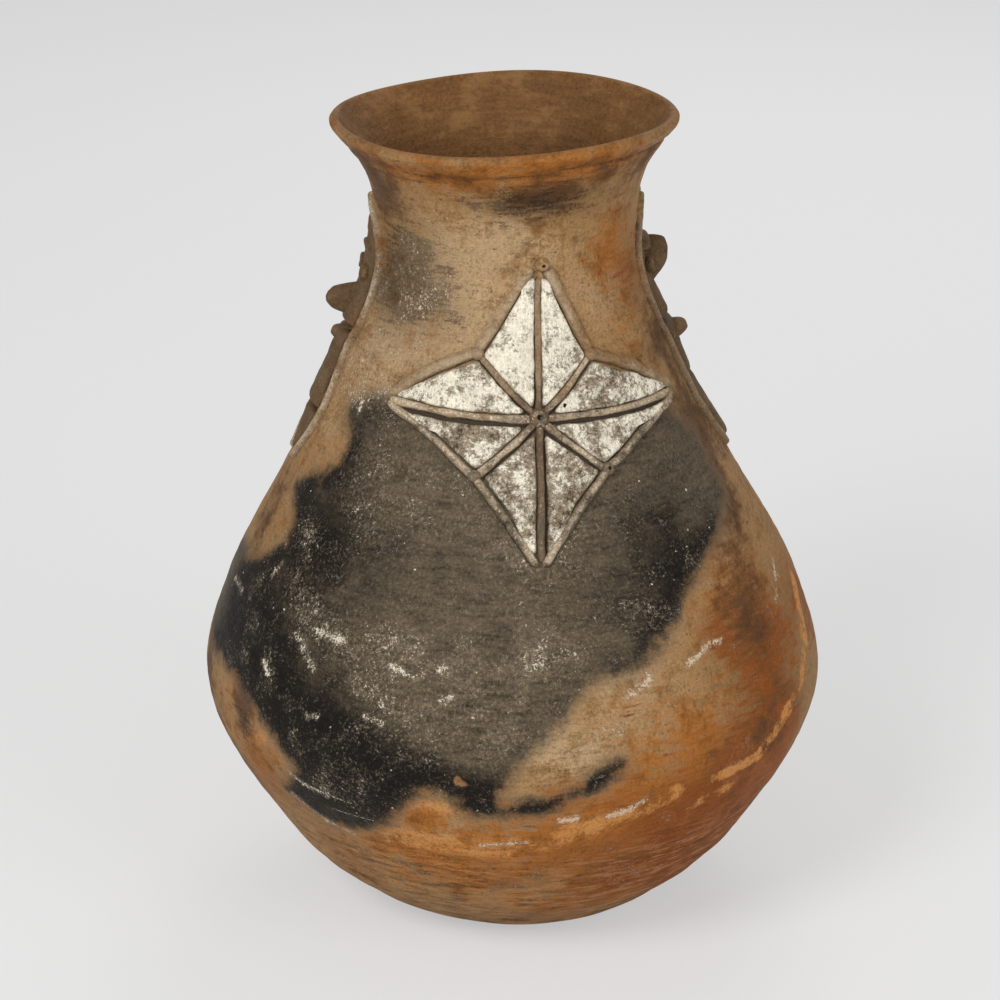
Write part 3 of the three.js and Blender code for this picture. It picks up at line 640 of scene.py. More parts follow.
def outer_run(low, high):
    """Heights, rows and normals of a stage's outer face. The normals run on unbroken past its seams."""
    heights = steps(low, high, ROW_STEP)
    step = heights[1] - heights[0]
    longer = np.concatenate([[low - step], heights, [high + step]])
    grid = worked_rows(longer)
    return heights, grid[1:-1], grid_normals(grid)[1:-1]


def inner_rows(top, foot):
    """Heights and rows of the inner face, from its top down."""
    heights = steps(top, foot, INNER_STEP)
    azimuth, height = np.meshgrid(AZIMUTHS, heights)
    dents = layered(wall(azimuth, height, -WALL), INNER_DENTS)
    return heights, wall(azimuth, height, -WALL + dents)


def lip_rows():
    """Heights and rows over the rounded lip, from its outer edge to its inner one."""
    turn = np.linspace(0, np.pi, LIP_ROWS + 2)[1:-1]
    heights = LIP_EDGE + LIP_ROUND * np.sin(turn)
    azimuth, height = np.meshgrid(AZIMUTHS, heights)
    edge = unevenness(azimuth, np.full(azimuth.shape, float(LIP_EDGE)))
    share = ((1 + np.cos(turn)) / 2)[:, None]
    return heights, wall(azimuth, height, -WALL * (1 - share) + edge * share)


def disc_rows(ring, height, shares):
    """Heights and rows of the rings that close a stage, drawn in from the row beside them."""
    return np.full(len(shares), float(height)), np.stack([ring * (share, share, 1) for share in shares])


def close_around(rows):
    """Faces between rows of points, each with its four corners, row by row."""
    near = np.arange(SEGMENTS)
    far = np.roll(near, -1)
    lower = (np.arange(rows - 1) * SEGMENTS)[:, None]
    quads = np.stack([lower + near, lower + far, lower + far + SEGMENTS, lower + near + SEGMENTS], -1)
    return quads.reshape(-1, 4)


def build_stage(node, low, high, material):
    """A stage of the wall as one closed mesh: its foot, outer face, lip, inner face and floor."""
    is_base, is_rim = node == "base_bowl", node == "rim_collar"
    heights, outer, outer_normals = outer_run(low, high)
    inner_top = high if is_rim else high + SEAM_BEVEL
    inner_foot = INNER_FOOT if is_base else low + SEAM_BEVEL
    inner = inner_rows(inner_top, inner_foot)
    lip = lip_rows() if is_rim else NO_ROWS
    foot = disc_rows(outer[0], 0, DISC_SHARES) if is_base else NO_ROWS
    floor = disc_rows(inner[1][-1], INNER_FOOT, DISC_SHARES[::-1]) if is_base else NO_ROWS
    runs = [foot, (heights, outer), lip, inner, floor]
    row_heights, rows = (np.concatenate(parts) for parts in zip(*runs))
    outer_start = len(foot[0])
    last_outer = outer_start + len(outer) - 1
    normals = grid_normals(rows)
    if is_rim:
        normals[last_outer] = outer_normals[-1]
    loops = band_normals(rows, normals, outer_normals, outer_start, last_outer, is_rim)
    ends, end_loops = stage_caps(len(rows)) if is_base else stage_seam(rows)
    faces = close_around(len(rows)).tolist() + ends
    loops = np.concatenate([loops, end_loops])
    values = stage_values(row_heights, last_outer, len(lip[0]))
    make_piece(node, "fired", rows.reshape(-1, 3), faces, values, material, loops)


def stage_caps(count):
    """Faces that close the middles of the foot and the floor, and the normals of their corners."""
    near = list(range(SEGMENTS))
    last = [(count - 1) * SEGMENTS + i for i in near]
    return [near[::-1], last], np.repeat(np.array([[0, 0, -1.0], [0, 0, 1.0]]), SEGMENTS, axis=0)


def stage_seam(rows):
    """Faces from a stage's last row back to its first, and the flat normals of their corners."""
    near = np.arange(SEGMENTS)
    far = np.roll(near, -1)
    last = (len(rows) - 1) * SEGMENTS
    faces = np.stack([near, last + near, last + far, far], -1)
    corners = rows.reshape(-1, 3)[faces]
    flat = np.cross(corners[:, 1] - corners[:, 0], corners[:, 3] - corners[:, 0])
    flat /= np.linalg.norm(flat, axis=1, keepdims=True)
    return faces.tolist(), np.repeat(flat, 4, axis=0)


def band_normals(rows, normals, outer_normals, outer_start, last_outer, is_rim):
    """A normal for each corner of each face: smooth on a face of the wall, and flat across a seam."""
    bands = []
    for i in range(len(rows) - 1):
        on_outer = outer_start <= i < last_outer
        below, above = normals[i], normals[i + 1]
        if on_outer:
            below, above = outer_normals[i - outer_start], outer_normals[i + 1 - outer_start]
        elif i == last_outer and not is_rim:
            edge = np.cross(np.roll(rows[i], -1, axis=0) - rows[i], rows[i + 1] - rows[i])
            below = above = edge / np.linalg.norm(edge, axis=1, keepdims=True)
        elif i == last_outer + 1 and not is_rim:
            below = grid_normals(rows[i:i + 3])[0]
        bands.append(np.stack([below, np.roll(below, -1, axis=0), np.roll(above, -1, axis=0), above], axis=1))
    return np.concatenate(bands).reshape(-1, 3)


def stage_values(row_heights, last_outer, lip_count):
    """What the material reads at each vertex of a stage. Smoke, wear and scraping end with its outer face."""
    azimuth, height = np.meshgrid(AZIMUTHS, row_heights)
    values = firing(azimuth, height)
    inner = np.clip((np.arange(len(row_heights)) - last_outer) / (lip_count + 1), 0, 1)
    values["inside"] = np.repeat(inner[:, None], SEGMENTS, axis=1)
    for key in ("smudge", "rubbed", "soot", "rust", "scraped"):
        values[key] = values[key] * (1 - values["inside"])
    values["cloud"] = np.where(values["inside"] > 0, -FAR, values["cloud"])
    values["scratch"] = np.where(values["inside"] > 0, FAR, values["scratch"])
    return values


def skin(loops, closed):
    """Loops of points in a row as one closed mesh. An open row has a face at each end."""
    count, width = loops.shape[:2]
    spans = count if closed else count - 1
    near = np.arange(width)
    far = np.roll(near, -1)
    here = (np.arange(spans) * width)[:, None]
    there = ((np.arange(spans) + 1) % count * width)[:, None]
    faces = np.stack([here + near, there + near, there + far, here + far], -1).reshape(-1, 4).tolist()
    if not closed:
        faces += [near.tolist(), (near[::-1] + (count - 1) * width).tolist()]
    points = loops.reshape(-1, 3)
    return points, faces if faces_out(points, faces) else [face[::-1] for face in faces]


def faces_out(points, faces):
    """Whether the faces of a closed mesh point outwards, from the sign of its volume."""
    centred = points - points.mean(axis=0)
    a, b, c, d = centred[np.array([face for face in faces if len(face) == 4])].transpose(1, 0, 2)
    return np.sum(a * np.cross(b, c)) + np.sum(a * np.cross(c, d)) > 0


def wall_frame(azimuth, height):
    """Turns [across, up] on the wall round a place into azimuth and height."""
    per_millimetre = np.degrees(1 / profile(height)[0])

    def place(across, up):
        return azimuth + np.asarray(across, float) * per_millimetre, height + np.asarray(up, float)

    return place


def make_relief(node, azimuth, height, lift, material, closed=False, painted=False, **looks):
    """Applied clay from loops of places on the wall, each with its lift above it. The looks say, as numbers
    or arrays, how near each vertex is to a crest, how much painted shade it takes near the creases, and how
    greyed, smoked or limed it is."""
    points, faces = skin(wall(azimuth, height, lift + unevenness(azimuth, height)), closed)
    values = firing(azimuth, height)
    values.update({key: np.broadcast_to(numbers, lift.shape) for key, numbers in looks.items()})
    suffix, slot = ("painted", "lime_paint") if painted else ("fired", "relief_clay")
    return make_piece(node, suffix, points, faces, values, material)


STRIP_ACROSS = 21
STRIP_STEP = 1.6
# How far from each end a strip thins, and how wide its root is, as shares of its width
STRIP_THINNING = 0.55
STRIP_ROOT = 0.8
STRIP_THINNEST = 0.0632
STRIP_FOOT = -1.4
# How grey the crest of every strip is
CREST_GREY = 0.7


def strip(node, path, width, height, material, seed, flanks=(1, 1), creases=(0.6, 0.6), greys=(1, 1),
          feet=(STRIP_FOOT, STRIP_FOOT), **looks):
    """A rolled strip of clay along a path of (azimuth, height), pressed down and thinned at its ends. The
    flanks say how far its right and left sides are smeared out, as shares of its half width, the creases how
    dark the painted shade is along the line where each of them meets its neighbour, the greys how grey each
    of them is, and the feet how high above the wall each of them ends."""
    at, length = along_path(np.asarray(path, float))
    places = wall(at[:, 0], at[:, 1])
    taper = thinning(len(at), length, STRIP_THINNING * width)
    fat = taper * (1 + 0.16 * noise(places, 12, seed + 1))
    tall = taper**0.5 * (1 + 0.09 * noise(places, 14, seed + 2))
    across = np.cos(np.linspace(np.pi, 0, STRIP_ACROSS))
    bell = strip_section(across, flanks, feet, crack_gape(places, seed + 3))
    lift = bell * height * tall[:, None] + on_side(across, feet) * (1 - bell)
    offset = across * on_side(across, flanks) * width / 2 * fat[:, None]
    offset = offset + 0.6 * noise(places, 17, seed)[:, None]
    root = np.array([STRIP_ROOT, -STRIP_ROOT]) * width / 2 * taper[:, None]
    offset = np.concatenate([offset, root], axis=1)
    lift = np.pad(lift, ((0, 0), (0, 2)), constant_values=-SINK)
    bell = np.pad(bell, ((0, 0), (0, 2)))
    azimuth, heights = beside_path(at, offset)
    grey = on_side(offset, greys)
    looks["crest"] = bell**2
    # Painted shade along the foot of each side, where the strip meets the wall or its neighbour
    looks["crease"] = on_side(offset, creases) * (1 - bell) ** 1.3
    looks["greyed"] = grey + CREST_GREY * (1 - grey) * bell**2
    looks["smoked"] = looks.get("smoked", 0) + hub(azimuth, heights)
    make_relief(node, azimuth, heights, lift, material, **looks)


def on_side(across, pair):
    """The first of a pair on the right of a strip, and the second on its left."""
    return np.where(across < 0, pair[0], pair[1])


def thinning(count, length, reach):
    """How full a strip is along its length, rounded off over a reach from each end."""
    along = np.linspace(0, 1, count)
    from_end = np.minimum(along, along[::-1]) * length
    return np.maximum(rounding(from_end / reach), STRIP_THINNEST)


def rounding(share):
    """A quarter circle: 0 at 0, and 1 from 1 on."""
    return np.sqrt(1 - (1 - np.clip(share, 0, 1)) ** 2)


def crack_gape(places, seed):
    """How far a crack opens along a strip: widest in its middle and closed at its ends."""
    return np.sin(np.linspace(0, np.pi, len(places))) ** 0.6 * (1 + 0.5 * noise(places, 9, seed))


def strip_section(across, flanks, feet, gape):
    """How high a strip stands at each place across it, from 0 at its feet to 1 on its crest. Where a foot
    stays above the wall, a crack gapes: the flank is steep, and a flat floor lies between it and the foot."""
    spread = on_side(across, flanks)
    cracked = on_side(across, feet) > 0
    body = 1 + (spread - 1) * (1 - np.clip(gape, 0, 1))[:, None]
    reach = np.abs(across) * np.where(cracked, spread / body, 1)
    smeared = (spread > 1.05) & ~cracked
    return np.clip(1 - reach**2.6, 0, 1) ** np.where(smeared, 1.25, 0.62)


def beside_path(at, offset):
    """Places at distances to the left of each place on a path."""
    radius, slope = (numbers[:, None] for numbers in profile(at[:, 1]))
    run = np.gradient(at, axis=0)
    around, up = np.radians(run[:, :1]) * radius, run[:, 1:] * np.hypot(1, slope)
    left = offset / np.hypot(around, up)
    return at[:, :1] - np.degrees(up * left / radius), at[:, 1:] + around * left / np.hypot(1, slope)


def hub(azimuth, height):
    """How much darker the clay is round the star's middle."""
    return HUB_DARKNESS * hump(star_distance(azimuth, height, 0, 0), HUB_REACH)


def along_path(path):
    """Places evenly spaced along a smooth path through the given places, and its length."""
    radius, slope = profile(path[:, 1])
    flat = np.stack([np.radians(path[:, 0]) * radius, path[:, 1] * np.hypot(1, slope)], -1)
    lengths = np.concatenate([[0], np.cumsum(np.hypot(*np.diff(flat, axis=0).T))])
    count = max(8, math.ceil(lengths[-1] / STRIP_STEP)) + 1
    where = np.linspace(0, lengths[-1], count)
    tangent = np.gradient(path, lengths, axis=0)
    k = np.clip(np.searchsorted(lengths, where) - 1, 0, len(path) - 2)
    span = (lengths[k + 1] - lengths[k])[:, None]
    t = (where - lengths[k])[:, None] / span
    return smooth_cubic(t, path[k], path[k + 1], tangent[k] * span, tangent[k + 1] * span), lengths[-1]


DOME_SEGMENTS = 40
DOME_ROUGHNESS = 0.035
# The share of its width that a lug loses on its way to its tip
LUG_TAPER = 0.45


def dome(node, place, across, up, rings, material, seed, tip_rise=0.0, crease=0.6, **looks):
    """A pellet, boss or lug on the wall. Its rings are (share of its radii, lift) from the root up. It is
    painted darker low down, as shade round its foot and in a pierced hole.
    """
    reach = max(lift for _, lift in rings)
    turn = np.linspace(0, 2 * np.pi, DOME_SEGMENTS, endpoint=False)
    rings = [(rings[0][0], -float(SINK)), *rings]
    share = np.array([ring[0] for ring in rings])[:, None]
    lift = np.array([ring[1] for ring in rings])[:, None] * np.ones(DOME_SEGMENTS)
    radius, slope = profile(place[1])
    azimuth = place[0] + np.degrees(np.sin(turn) * across * share / radius)
    height = place[1] + np.cos(turn) * up * share / np.hypot(1, slope)
    rough = DOME_ROUGHNESS * reach * noise(wall(azimuth, height, lift), 0.5 * across, seed)
    lift = np.where(lift > 0.5, lift + rough, lift)
    height = height + tip_rise * np.clip(lift, 0, None) / reach
    crest = np.clip(lift / reach, 0, 1) ** 2
    # Painted shade, darkest round the foot and down in a pierced hole
    dark = crease * (1 - np.clip(lift / (0.6 * reach), 0, 1))
    make_relief(node, azimuth, height, lift, material, crest=crest, crease=dark, **looks)


# The top rings of a pierced pellet and of a whole one, as shares of its radius and height
PIERCED_TOP = ((0.3, 0.96), (0.27, 0.8), (0.24, 0.45), (0.1, 0.2))
WHOLE_TOP = ((0.06, 1),)


def pellet_rings(height, pierced):
    """A pressed ball of clay, with a hole poked in its top if it is pierced."""
    top = PIERCED_TOP if pierced else WHOLE_TOP
    angles = np.linspace(0, np.pi / 2, 12)[:-1]
    side = [(np.cos(a) ** 0.8, 0.16 + 0.84 * np.sin(a)) for a in angles]
    rings = [ring for ring in side if ring[0] > top[0][0]] + list(top)
    return [(1.08, -0.5), *((share, height * rise) for share, rise in rings)]


def lug_rings(reach):
    """A lug that narrows from a broad root to a worn, rounded tip."""
    rises = 1 - (1 - np.linspace(0.06, 1, 16)) ** 1.6
    rings = [((1 - LUG_TAPER * t) * np.sqrt(np.clip(1 - t**8, 0.002, 1)), reach * t) for t in rises]
    return [(1.1, -0.5), *rings]


# Painted fields of the star
HOLE_RADIUS = 1.5
HOLE_DEPTH = 2
FIELD_SPACING = 1.6
# The rows of a field lie close along its edge, at these depths, and evenly from the next depth on
EDGE_DEPTHS = (0, 0.25, 0.6, 1.1, 1.8)
EVEN_DEPTH = 2.6
EVEN_STEP = 1.15
# The share of its thickness that a field keeps at its very edge
FIELD_LIP = 0.4


def inset_triangle(corners, insets):
    """A triangle with each side moved inwards. Side i runs from corner i to the next."""
    corners = np.asarray(corners, float)
    middle = corners.mean(axis=0)
    lines = []
    for i in range(3):
        start, end = corners[i], corners[(i + 1) % 3]
        normal = np.array([start[1] - end[1], end[0] - start[0]])
        normal /= np.linalg.norm(normal)
        if normal @ (middle - start) < 0:
            normal = -normal
        lines.append((normal, normal @ start + insets[i]))
    pairs = [(lines[i - 1], lines[i]) for i in range(3)]
    return np.array([np.linalg.solve([a[0], b[0]], [a[1], b[1]]) for a, b in pairs])


def rounded_corner(before, here, after, radius):
    """Points on the curve that rounds a corner off."""
    back = (before - here) / np.linalg.norm(before - here)
    ahead = (after - here) / np.linalg.norm(after - here)
    half_angle = math.acos(np.clip(back @ ahead, -1, 1)) / 2
    shorter = min(np.linalg.norm(before - here), np.linalg.norm(after - here))
    reach = min(radius / math.tan(half_angle), 0.4 * shorter)
    start, end = here + back * reach, here + ahead * reach
    t = np.linspace(0, 1, 7)[:, None]
    return (1 - t) ** 2 * start + 2 * t * (1 - t) * here + t**2 * end


def rounded_outline(corners, radius, spacing):
    """Points along an outline whose corners are rounded."""
    around = zip(np.roll(corners, 1, axis=0), corners, np.roll(corners, -1, axis=0))
    arcs = [rounded_corner(before, here, after, radius) for before, here, after in around]
    points = []
    for arc, next_arc in zip(arcs, arcs[1:] + arcs[:1]):
        gap = next_arc[0] - arc[-1]
        count = max(2, math.ceil(np.linalg.norm(gap) / spacing))
        points += [arc, arc[-1] + gap * np.linspace(0, 1, count + 1)[1:-1, None]]
    return np.concatenate(points)


def turn_between(first, second):
    """The cross product of two flat vectors: positive if the second lies to the left of the first."""
    return first[0] * second[1] - first[1] * second[0]


def incentre(corners):
    """The middle of a triangle's inner circle, and its radius."""
    sides = np.array([np.linalg.norm(corners[(i + 1) % 3] - corners[(i + 2) % 3]) for i in range(3)])
    middle = (sides[:, None] * corners).sum(axis=0) / sides.sum()
    return middle, abs(turn_between(corners[1] - corners[0], corners[2] - corners[0])) / sides.sum()


def field_corners(inner, tip_name, name, side, insets):
    """The corners of a field: its pointed tip is cut off near the star's tip, and its outer side bends."""
    tip = np.asarray(STAR_TIPS[tip_name])
    along = tip / np.linalg.norm(tip)
    towards_side = np.array([-along[1], along[0]]) * side
    blunt = WIDE_ENDS.get(name, NARROW_END)
    near_rib = tip - along * TIP_CLEARANCE[tip_name] + towards_side * insets[0]
    near_edge = near_rib + towards_side * blunt - along * 0.1 * blunt
    bend = np.asarray(SIDE_BENDS[name])
    inwards = np.array([tip[1] - bend[1], bend[0] - tip[0]]) * side
    near_bend = bend + insets[1] * inwards / np.linalg.norm(inwards)
    return np.array([inner[0], near_rib, near_edge, near_bend, inner[2]])


def rib_inset(name, on_left):
    """How far a field keeps from a rib's middle: it laps onto the rib, or leaves the rib's crack open."""
    crack_side, crack = RIBS[name][:2]
    is_cracked = (crack_side == "left") == on_left
    return size("rib_width") / 2 + (crack if is_cracked else -FIELD_LAP)


def field_plan(tip_name, corner_name, name):
    """The outline of a field, and the middle and the radius of the inner circle of its triangle."""
    tip, corner = STAR_TIPS[tip_name], STAR_CORNERS[corner_name]
    side = np.sign(turn_between(tip, corner))
    insets = (
        rib_inset(tip_name, side > 0),
        size("edge_width") / 2 + FIELD_GROOVE,
        rib_inset(corner_name, side < 0),
    )
    inner = inset_triangle([(0, 0), tip, corner], insets)
    corners = field_corners(inner, tip_name, name, side, insets)
    return rounded_outline(corners, FIELD_CORNER, FIELD_SPACING), *incentre(inner)


def field_rows(outline, middle, share, depths, seed):
    """The outline of a field drawn in to each of its shares, and ragged near its edge."""
    flat = middle + share[:, None, None] * (outline - middle)
    level = np.pad(flat, ((0, 0), (0, 0), (0, 1)))
    ragged = layered(level, ((9, 0.5, seed), (3.6, 0.25, seed + 1))) * np.exp(-depths / 3)[:, None]
    return flat + ragged[..., None]


def field_lift(surface, share, depths, seed):
    """How high a field stands: rounded at its edge, crowned in its middle and dented by the fingers."""
    rounded = rounding(depths / FIELD_EDGE)
    thickness = size("field_thickness") * (FIELD_LIP + (1 - FIELD_LIP) * rounded)
    crown = size("field_crown") * (1 - share**2)
    dents = layered(surface, ((9, 0.3, seed + 1), (3.5, 0.14, seed + 2)))
    return (thickness + crown)[:, None] + dents * rounded[:, None]


def build_field(tip_name, corner_name, material, seed):
    """A painted pad: a low pillow with rounded edges between two ribs and the edge of the star."""
    name = f"{tip_name}_to_{corner_name}"
    node = f"star_field_{name}"
    lime_left, smoked = FIELD_LIME[name]
    outline, middle, inradius = field_plan(tip_name, corner_name, name)
    depths = np.concatenate([EDGE_DEPTHS, steps(EVEN_DEPTH, 0.97 * inradius, EVEN_STEP)])
    share = 1 - depths / inradius
    flat = field_rows(outline, middle, share, depths, seed)
    azimuth, height = star_place()(flat[..., 0], flat[..., 1])
    lift = field_lift(wall(azimuth, height), share, depths, seed)
    azimuth, height = (np.concatenate([rows[:1], rows]) for rows in (azimuth, height))
    hole = hole_distance(node, azimuth, height)
    lift = np.pad(lift, ((1, 0), (0, 0)), constant_values=-SINK) - HOLE_DEPTH * hump(hole, HOLE_RADIUS)
    near_edge = np.append(1, np.exp(-depths / 1.1))[:, None]
    lime = lime_left * (1 - 0.3 * near_edge) + field_wear(node, azimuth, height)
    # The painted shade runs along the field's edge, in the groove beside the ribs and the edging
    looks = {"crease": near_edge, "lime": lime, "smoked": smoked, "hole": hole}
    make_relief(node, azimuth, height, lift, material, painted=True, **looks)


def star_distance(azimuth, height, across, up):
    """Millimetres along the wall to a place on the star."""
    return np.hypot(*on_wall(azimuth, height, *star_place()(across, up)))


def hole_distance(node, azimuth, height):
    """Millimetres from the small hole that one of the fields has."""
    field, across, up = FIELD_HOLE
    if not node.endswith(field):
        return np.full(np.shape(azimuth), float(FAR))
    return star_distance(azimuth, height, across, up)


def field_wear(node, azimuth, height):
    """Where the lime lasted best or wore off, on the fields that show it."""
    extra = np.zeros(np.shape(azimuth))
    for name, across, up, reach, amount in LIME_SPOTS:
        if node.endswith(name):
            extra += amount * hump(star_distance(azimuth, height, across, up), reach)
    return extra


def star_place():
    return wall_frame(STAR_AZIMUTH, THROAT_HEIGHT - STAR_BELOW_THROAT)


def star_sides():
    """The eight sides of the star, each as the names of its tip and its corner."""
    corners = list(STAR_CORNERS)
    for i, tip in enumerate(STAR_TIPS):
        yield tip, corners[i - 1]
        yield tip, corners[i]


# The outer and the inner side of the edging, each as (how far it is smeared out, how dark the painted shade
# at its foot is, grey). The upper edges have their painted shade inside, and the steep lower ones a painted
# shadow outside
SMEARED_EDGE = ((2.1, 0.05, 0), (0.8, 0.9, 0.7))
STEEP_EDGE = ((1.2, 1.3, 0), (0.8, 0.2, 1))
# The sound side of a rib, as (how far it is smeared out, how dark the painted shade at its foot is, foot),
# and what a crack makes of them, with darker painted shade in the crack
SOUND_SIDE = (1, 0.15, STRIP_FOOT)
CRACK_SPREAD = 2.4
CRACK_SHADE = 1.9
CRACK_FLOOR = 0.9


def build_edge(tip_name, corner_name, material, seed):
    """A strip from a corner to a tip, smeared out into the wall on the upper sides and steep on the lower."""
    tip, corner = np.array(STAR_TIPS[tip_name]), STAR_CORNERS[corner_name]
    side = np.sign(turn_between(tip, corner))
    along = tip / np.linalg.norm(tip)
    outward = side * np.array([-along[1], along[0]])
    end = tip + TIP_SPREAD[tip_name] * outward + TIP_REACH[tip_name] * along
    name = f"{tip_name}_to_{corner_name}"
    is_upper = name in UPPER_SIDES
    outer, inner = SMEARED_EDGE if is_upper else STEEP_EDGE
    flanks, creases, greys = zip(*((inner, outer) if side > 0 else (outer, inner)))
    looks = {"flanks": flanks, "creases": creases, "greys": greys, "lime": 0.1 if is_upper else 0.45}
    line = [star_place()(*spot) for spot in (corner, SIDE_BENDS[name], end)]
    strip(f"star_edge_{name}", line, size("edge_width"), size("edge_height"), material, seed, **looks)


def build_rib(name, spot, material, seed):
    """A rib from the star's middle to a tip or a corner, with a crack along one of its sides."""
    crack_side, crack, smoked, lime = RIBS[name]
    width = size("rib_width")
    cracked = (1 + CRACK_SPREAD * crack / width, CRACK_SHADE, CRACK_FLOOR)
    sides = (SOUND_SIDE, cracked) if crack_side == "left" else (cracked, SOUND_SIDE)
    flanks, creases, feet = zip(*sides)
    line = [star_place()(0, 0), star_place()(*spot)]
    looks = {"flanks": flanks, "creases": creases, "feet": feet, "lime": lime, "smoked": smoked}
    strip(f"star_rib_{name}", line, width, size("rib_height"), material, seed, **looks)


# Masks
PLATE_ACROSS = 25
PLATE_STEP = 1.6
PLATE_LAP = 0.8
PLATE_EDGE = 2.6
PLATE_CROWN = 2
EYE_ACROSS = 13
BROW_POINTS = 5


def outline_half(up):
    """Half the width between the middles of a mask's borders."""
    return np.interp(-np.asarray(up, float), -MASK_OUTLINE[:, 1], MASK_OUTLINE[:, 0])


def build_plate(node, mask, top, foot, thick, material, seed):
    """A plate of a mask: a pad inside the border, thicker at one end, with rounded edges."""
    ups = steps(top, foot, PLATE_STEP)
    across = np.sin(np.linspace(-np.pi / 2, np.pi / 2, PLATE_ACROSS))
    half = outline_half(ups) - size("border_width") / 2 + PLATE_LAP
    ends = rounding(np.minimum(np.abs(ups - top), np.abs(ups - foot)) / PLATE_EDGE)
    sides = np.clip(1 - np.abs(across) ** 5, 0, 1) ** 0.5
    thickness = np.interp(ups, (foot, top), thick[::-1])
    lift = (thickness * (0.3 + 0.7 * ends))[:, None] * (0.35 + 0.65 * sides)
    lift = lift + PLATE_CROWN * (1 - across**2) * ends[:, None]
    azimuth, height = mask_place(mask)(half[:, None] * across, ups[:, None] * np.ones(PLATE_ACROSS))
    lift = lift + 0.4 * noise(wall(azimuth, height), 8, seed)
    azimuth, height = (np.concatenate([v, v[:, -1:], v[:, :1]], axis=1) for v in (azimuth, height))
    lift = np.pad(lift, ((0, 0), (0, 2)), constant_values=-SINK)
    near_edge = np.maximum(1 - ends[:, None], 1 - np.append(sides, [0, 0]))
    # Painted shade along the plate's edges
    looks = {"crest": (1 - near_edge) ** 2, "crease": 0.6 * near_edge, "lime": 0.05, "smoked": 0.9}
    make_relief(node, azimuth, height, lift, material, **looks)


def build_eye(node, mask, sign, material, seed):
    """A ring of rolled clay round a sunken pupil."""
    middle_azimuth, middle_height = mask_place(mask)(sign * EYE_SPREAD, EYE_RISE)
    radius, slope = profile(middle_height)
    turn = np.linspace(0, 2 * np.pi, DOME_SEGMENTS, endpoint=False)[:, None]
    across = np.cos(np.linspace(np.pi, 0, EYE_ACROSS))
    bell = np.clip(1 - np.abs(across) ** 2.4, 0, 1) ** 0.6
    offset = EYE_RADIUS + np.append(across, [STRIP_ROOT, -STRIP_ROOT]) * size("eye_roll") / 2
    roll = np.append(size("eye_height") * (0.45 + 0.55 * bell), [-SINK, -SINK])
    azimuth = middle_azimuth + np.degrees(np.sin(turn) * offset / radius)
    height = middle_height + np.cos(turn) * offset / np.hypot(1, slope)
    lift = roll + np.where(roll > 0, 0.3 * noise(wall(azimuth, height), 5, seed), 0)
    crest = np.append(bell, [0, 0]) ** 2
    # Painted shade on the sides of the roll, away from its crest
    looks = {"crest": crest, "crease": 0.6 * (1 - crest), "lime": 0.1, "smoked": 0.8}
    make_relief(node, azimuth, height, lift, material, closed=True, **looks)


def mask_place(mask):
    return wall_frame(mask["azimuth"], NECK_HEIGHT - MASK_BELOW_NECK)


def fronts(side):
    """Which way is the front, and which is the back, across a mask."""
    towards_front = 1 if side == "left" else -1
    return {"front": towards_front, "back": -towards_front}


# Shaders
EVEN = (1, 1, 1)
HORIZONTAL = (0.16, 0.16, 1)
UPRIGHT = (1, 1, 0.14)
HAIR_SLANT = 55
# Specks, as (millimetres from cell to cell, radius, share of the cells that hold one)
PITS = (5.3, 0.5, 0.12)
GRIT = (6, 0.8, 0.25)
FLECKS = (9, 0.8, 0.2)
CLAY_GLOSS = 0.14
LIME_GLOSS = 0.2
LIME_ROUGHNESS = 0.82


class Link:
    """An output of a node that can stand in arithmetic: each operation adds the node that works it out."""

    def __init__(self, shader, output):
        self.shader = shader
        self.output = output

    def math(self, operation, *values):
        return self.shader.add("ShaderNodeMath", {"operation": operation}, dict(enumerate(values)))

    def __add__(self, other):
        return self.math("ADD", self, other)

    def __radd__(self, other):
        return self.math("ADD", other, self)

    def __sub__(self, other):
        return self.math("SUBTRACT", self, other)

    def __rsub__(self, other):
        return self.math("SUBTRACT", other, self)

    def __mul__(self, other):
        return self.math("MULTIPLY", self, other)

    def __rmul__(self, other):
        return self.math("MULTIPLY", other, self)

    def size(self):
        return self.math("ABSOLUTE", self)

    def most(self, other):
        return self.math("MAXIMUM", self, other)

    def ease(self, low, high):
        """0 below low and 1 above high, or the other way round if low is the larger."""
        ends = {"From Min": min(low, high), "From Max": max(low, high)}
        ends.update({"To Min": float(low > high), "To Max": float(low <= high)})
        return self.shader.add(
            "ShaderNodeMapRange", {"interpolation_type": "SMOOTHSTEP"}, {"Value": self, **ends}
        )


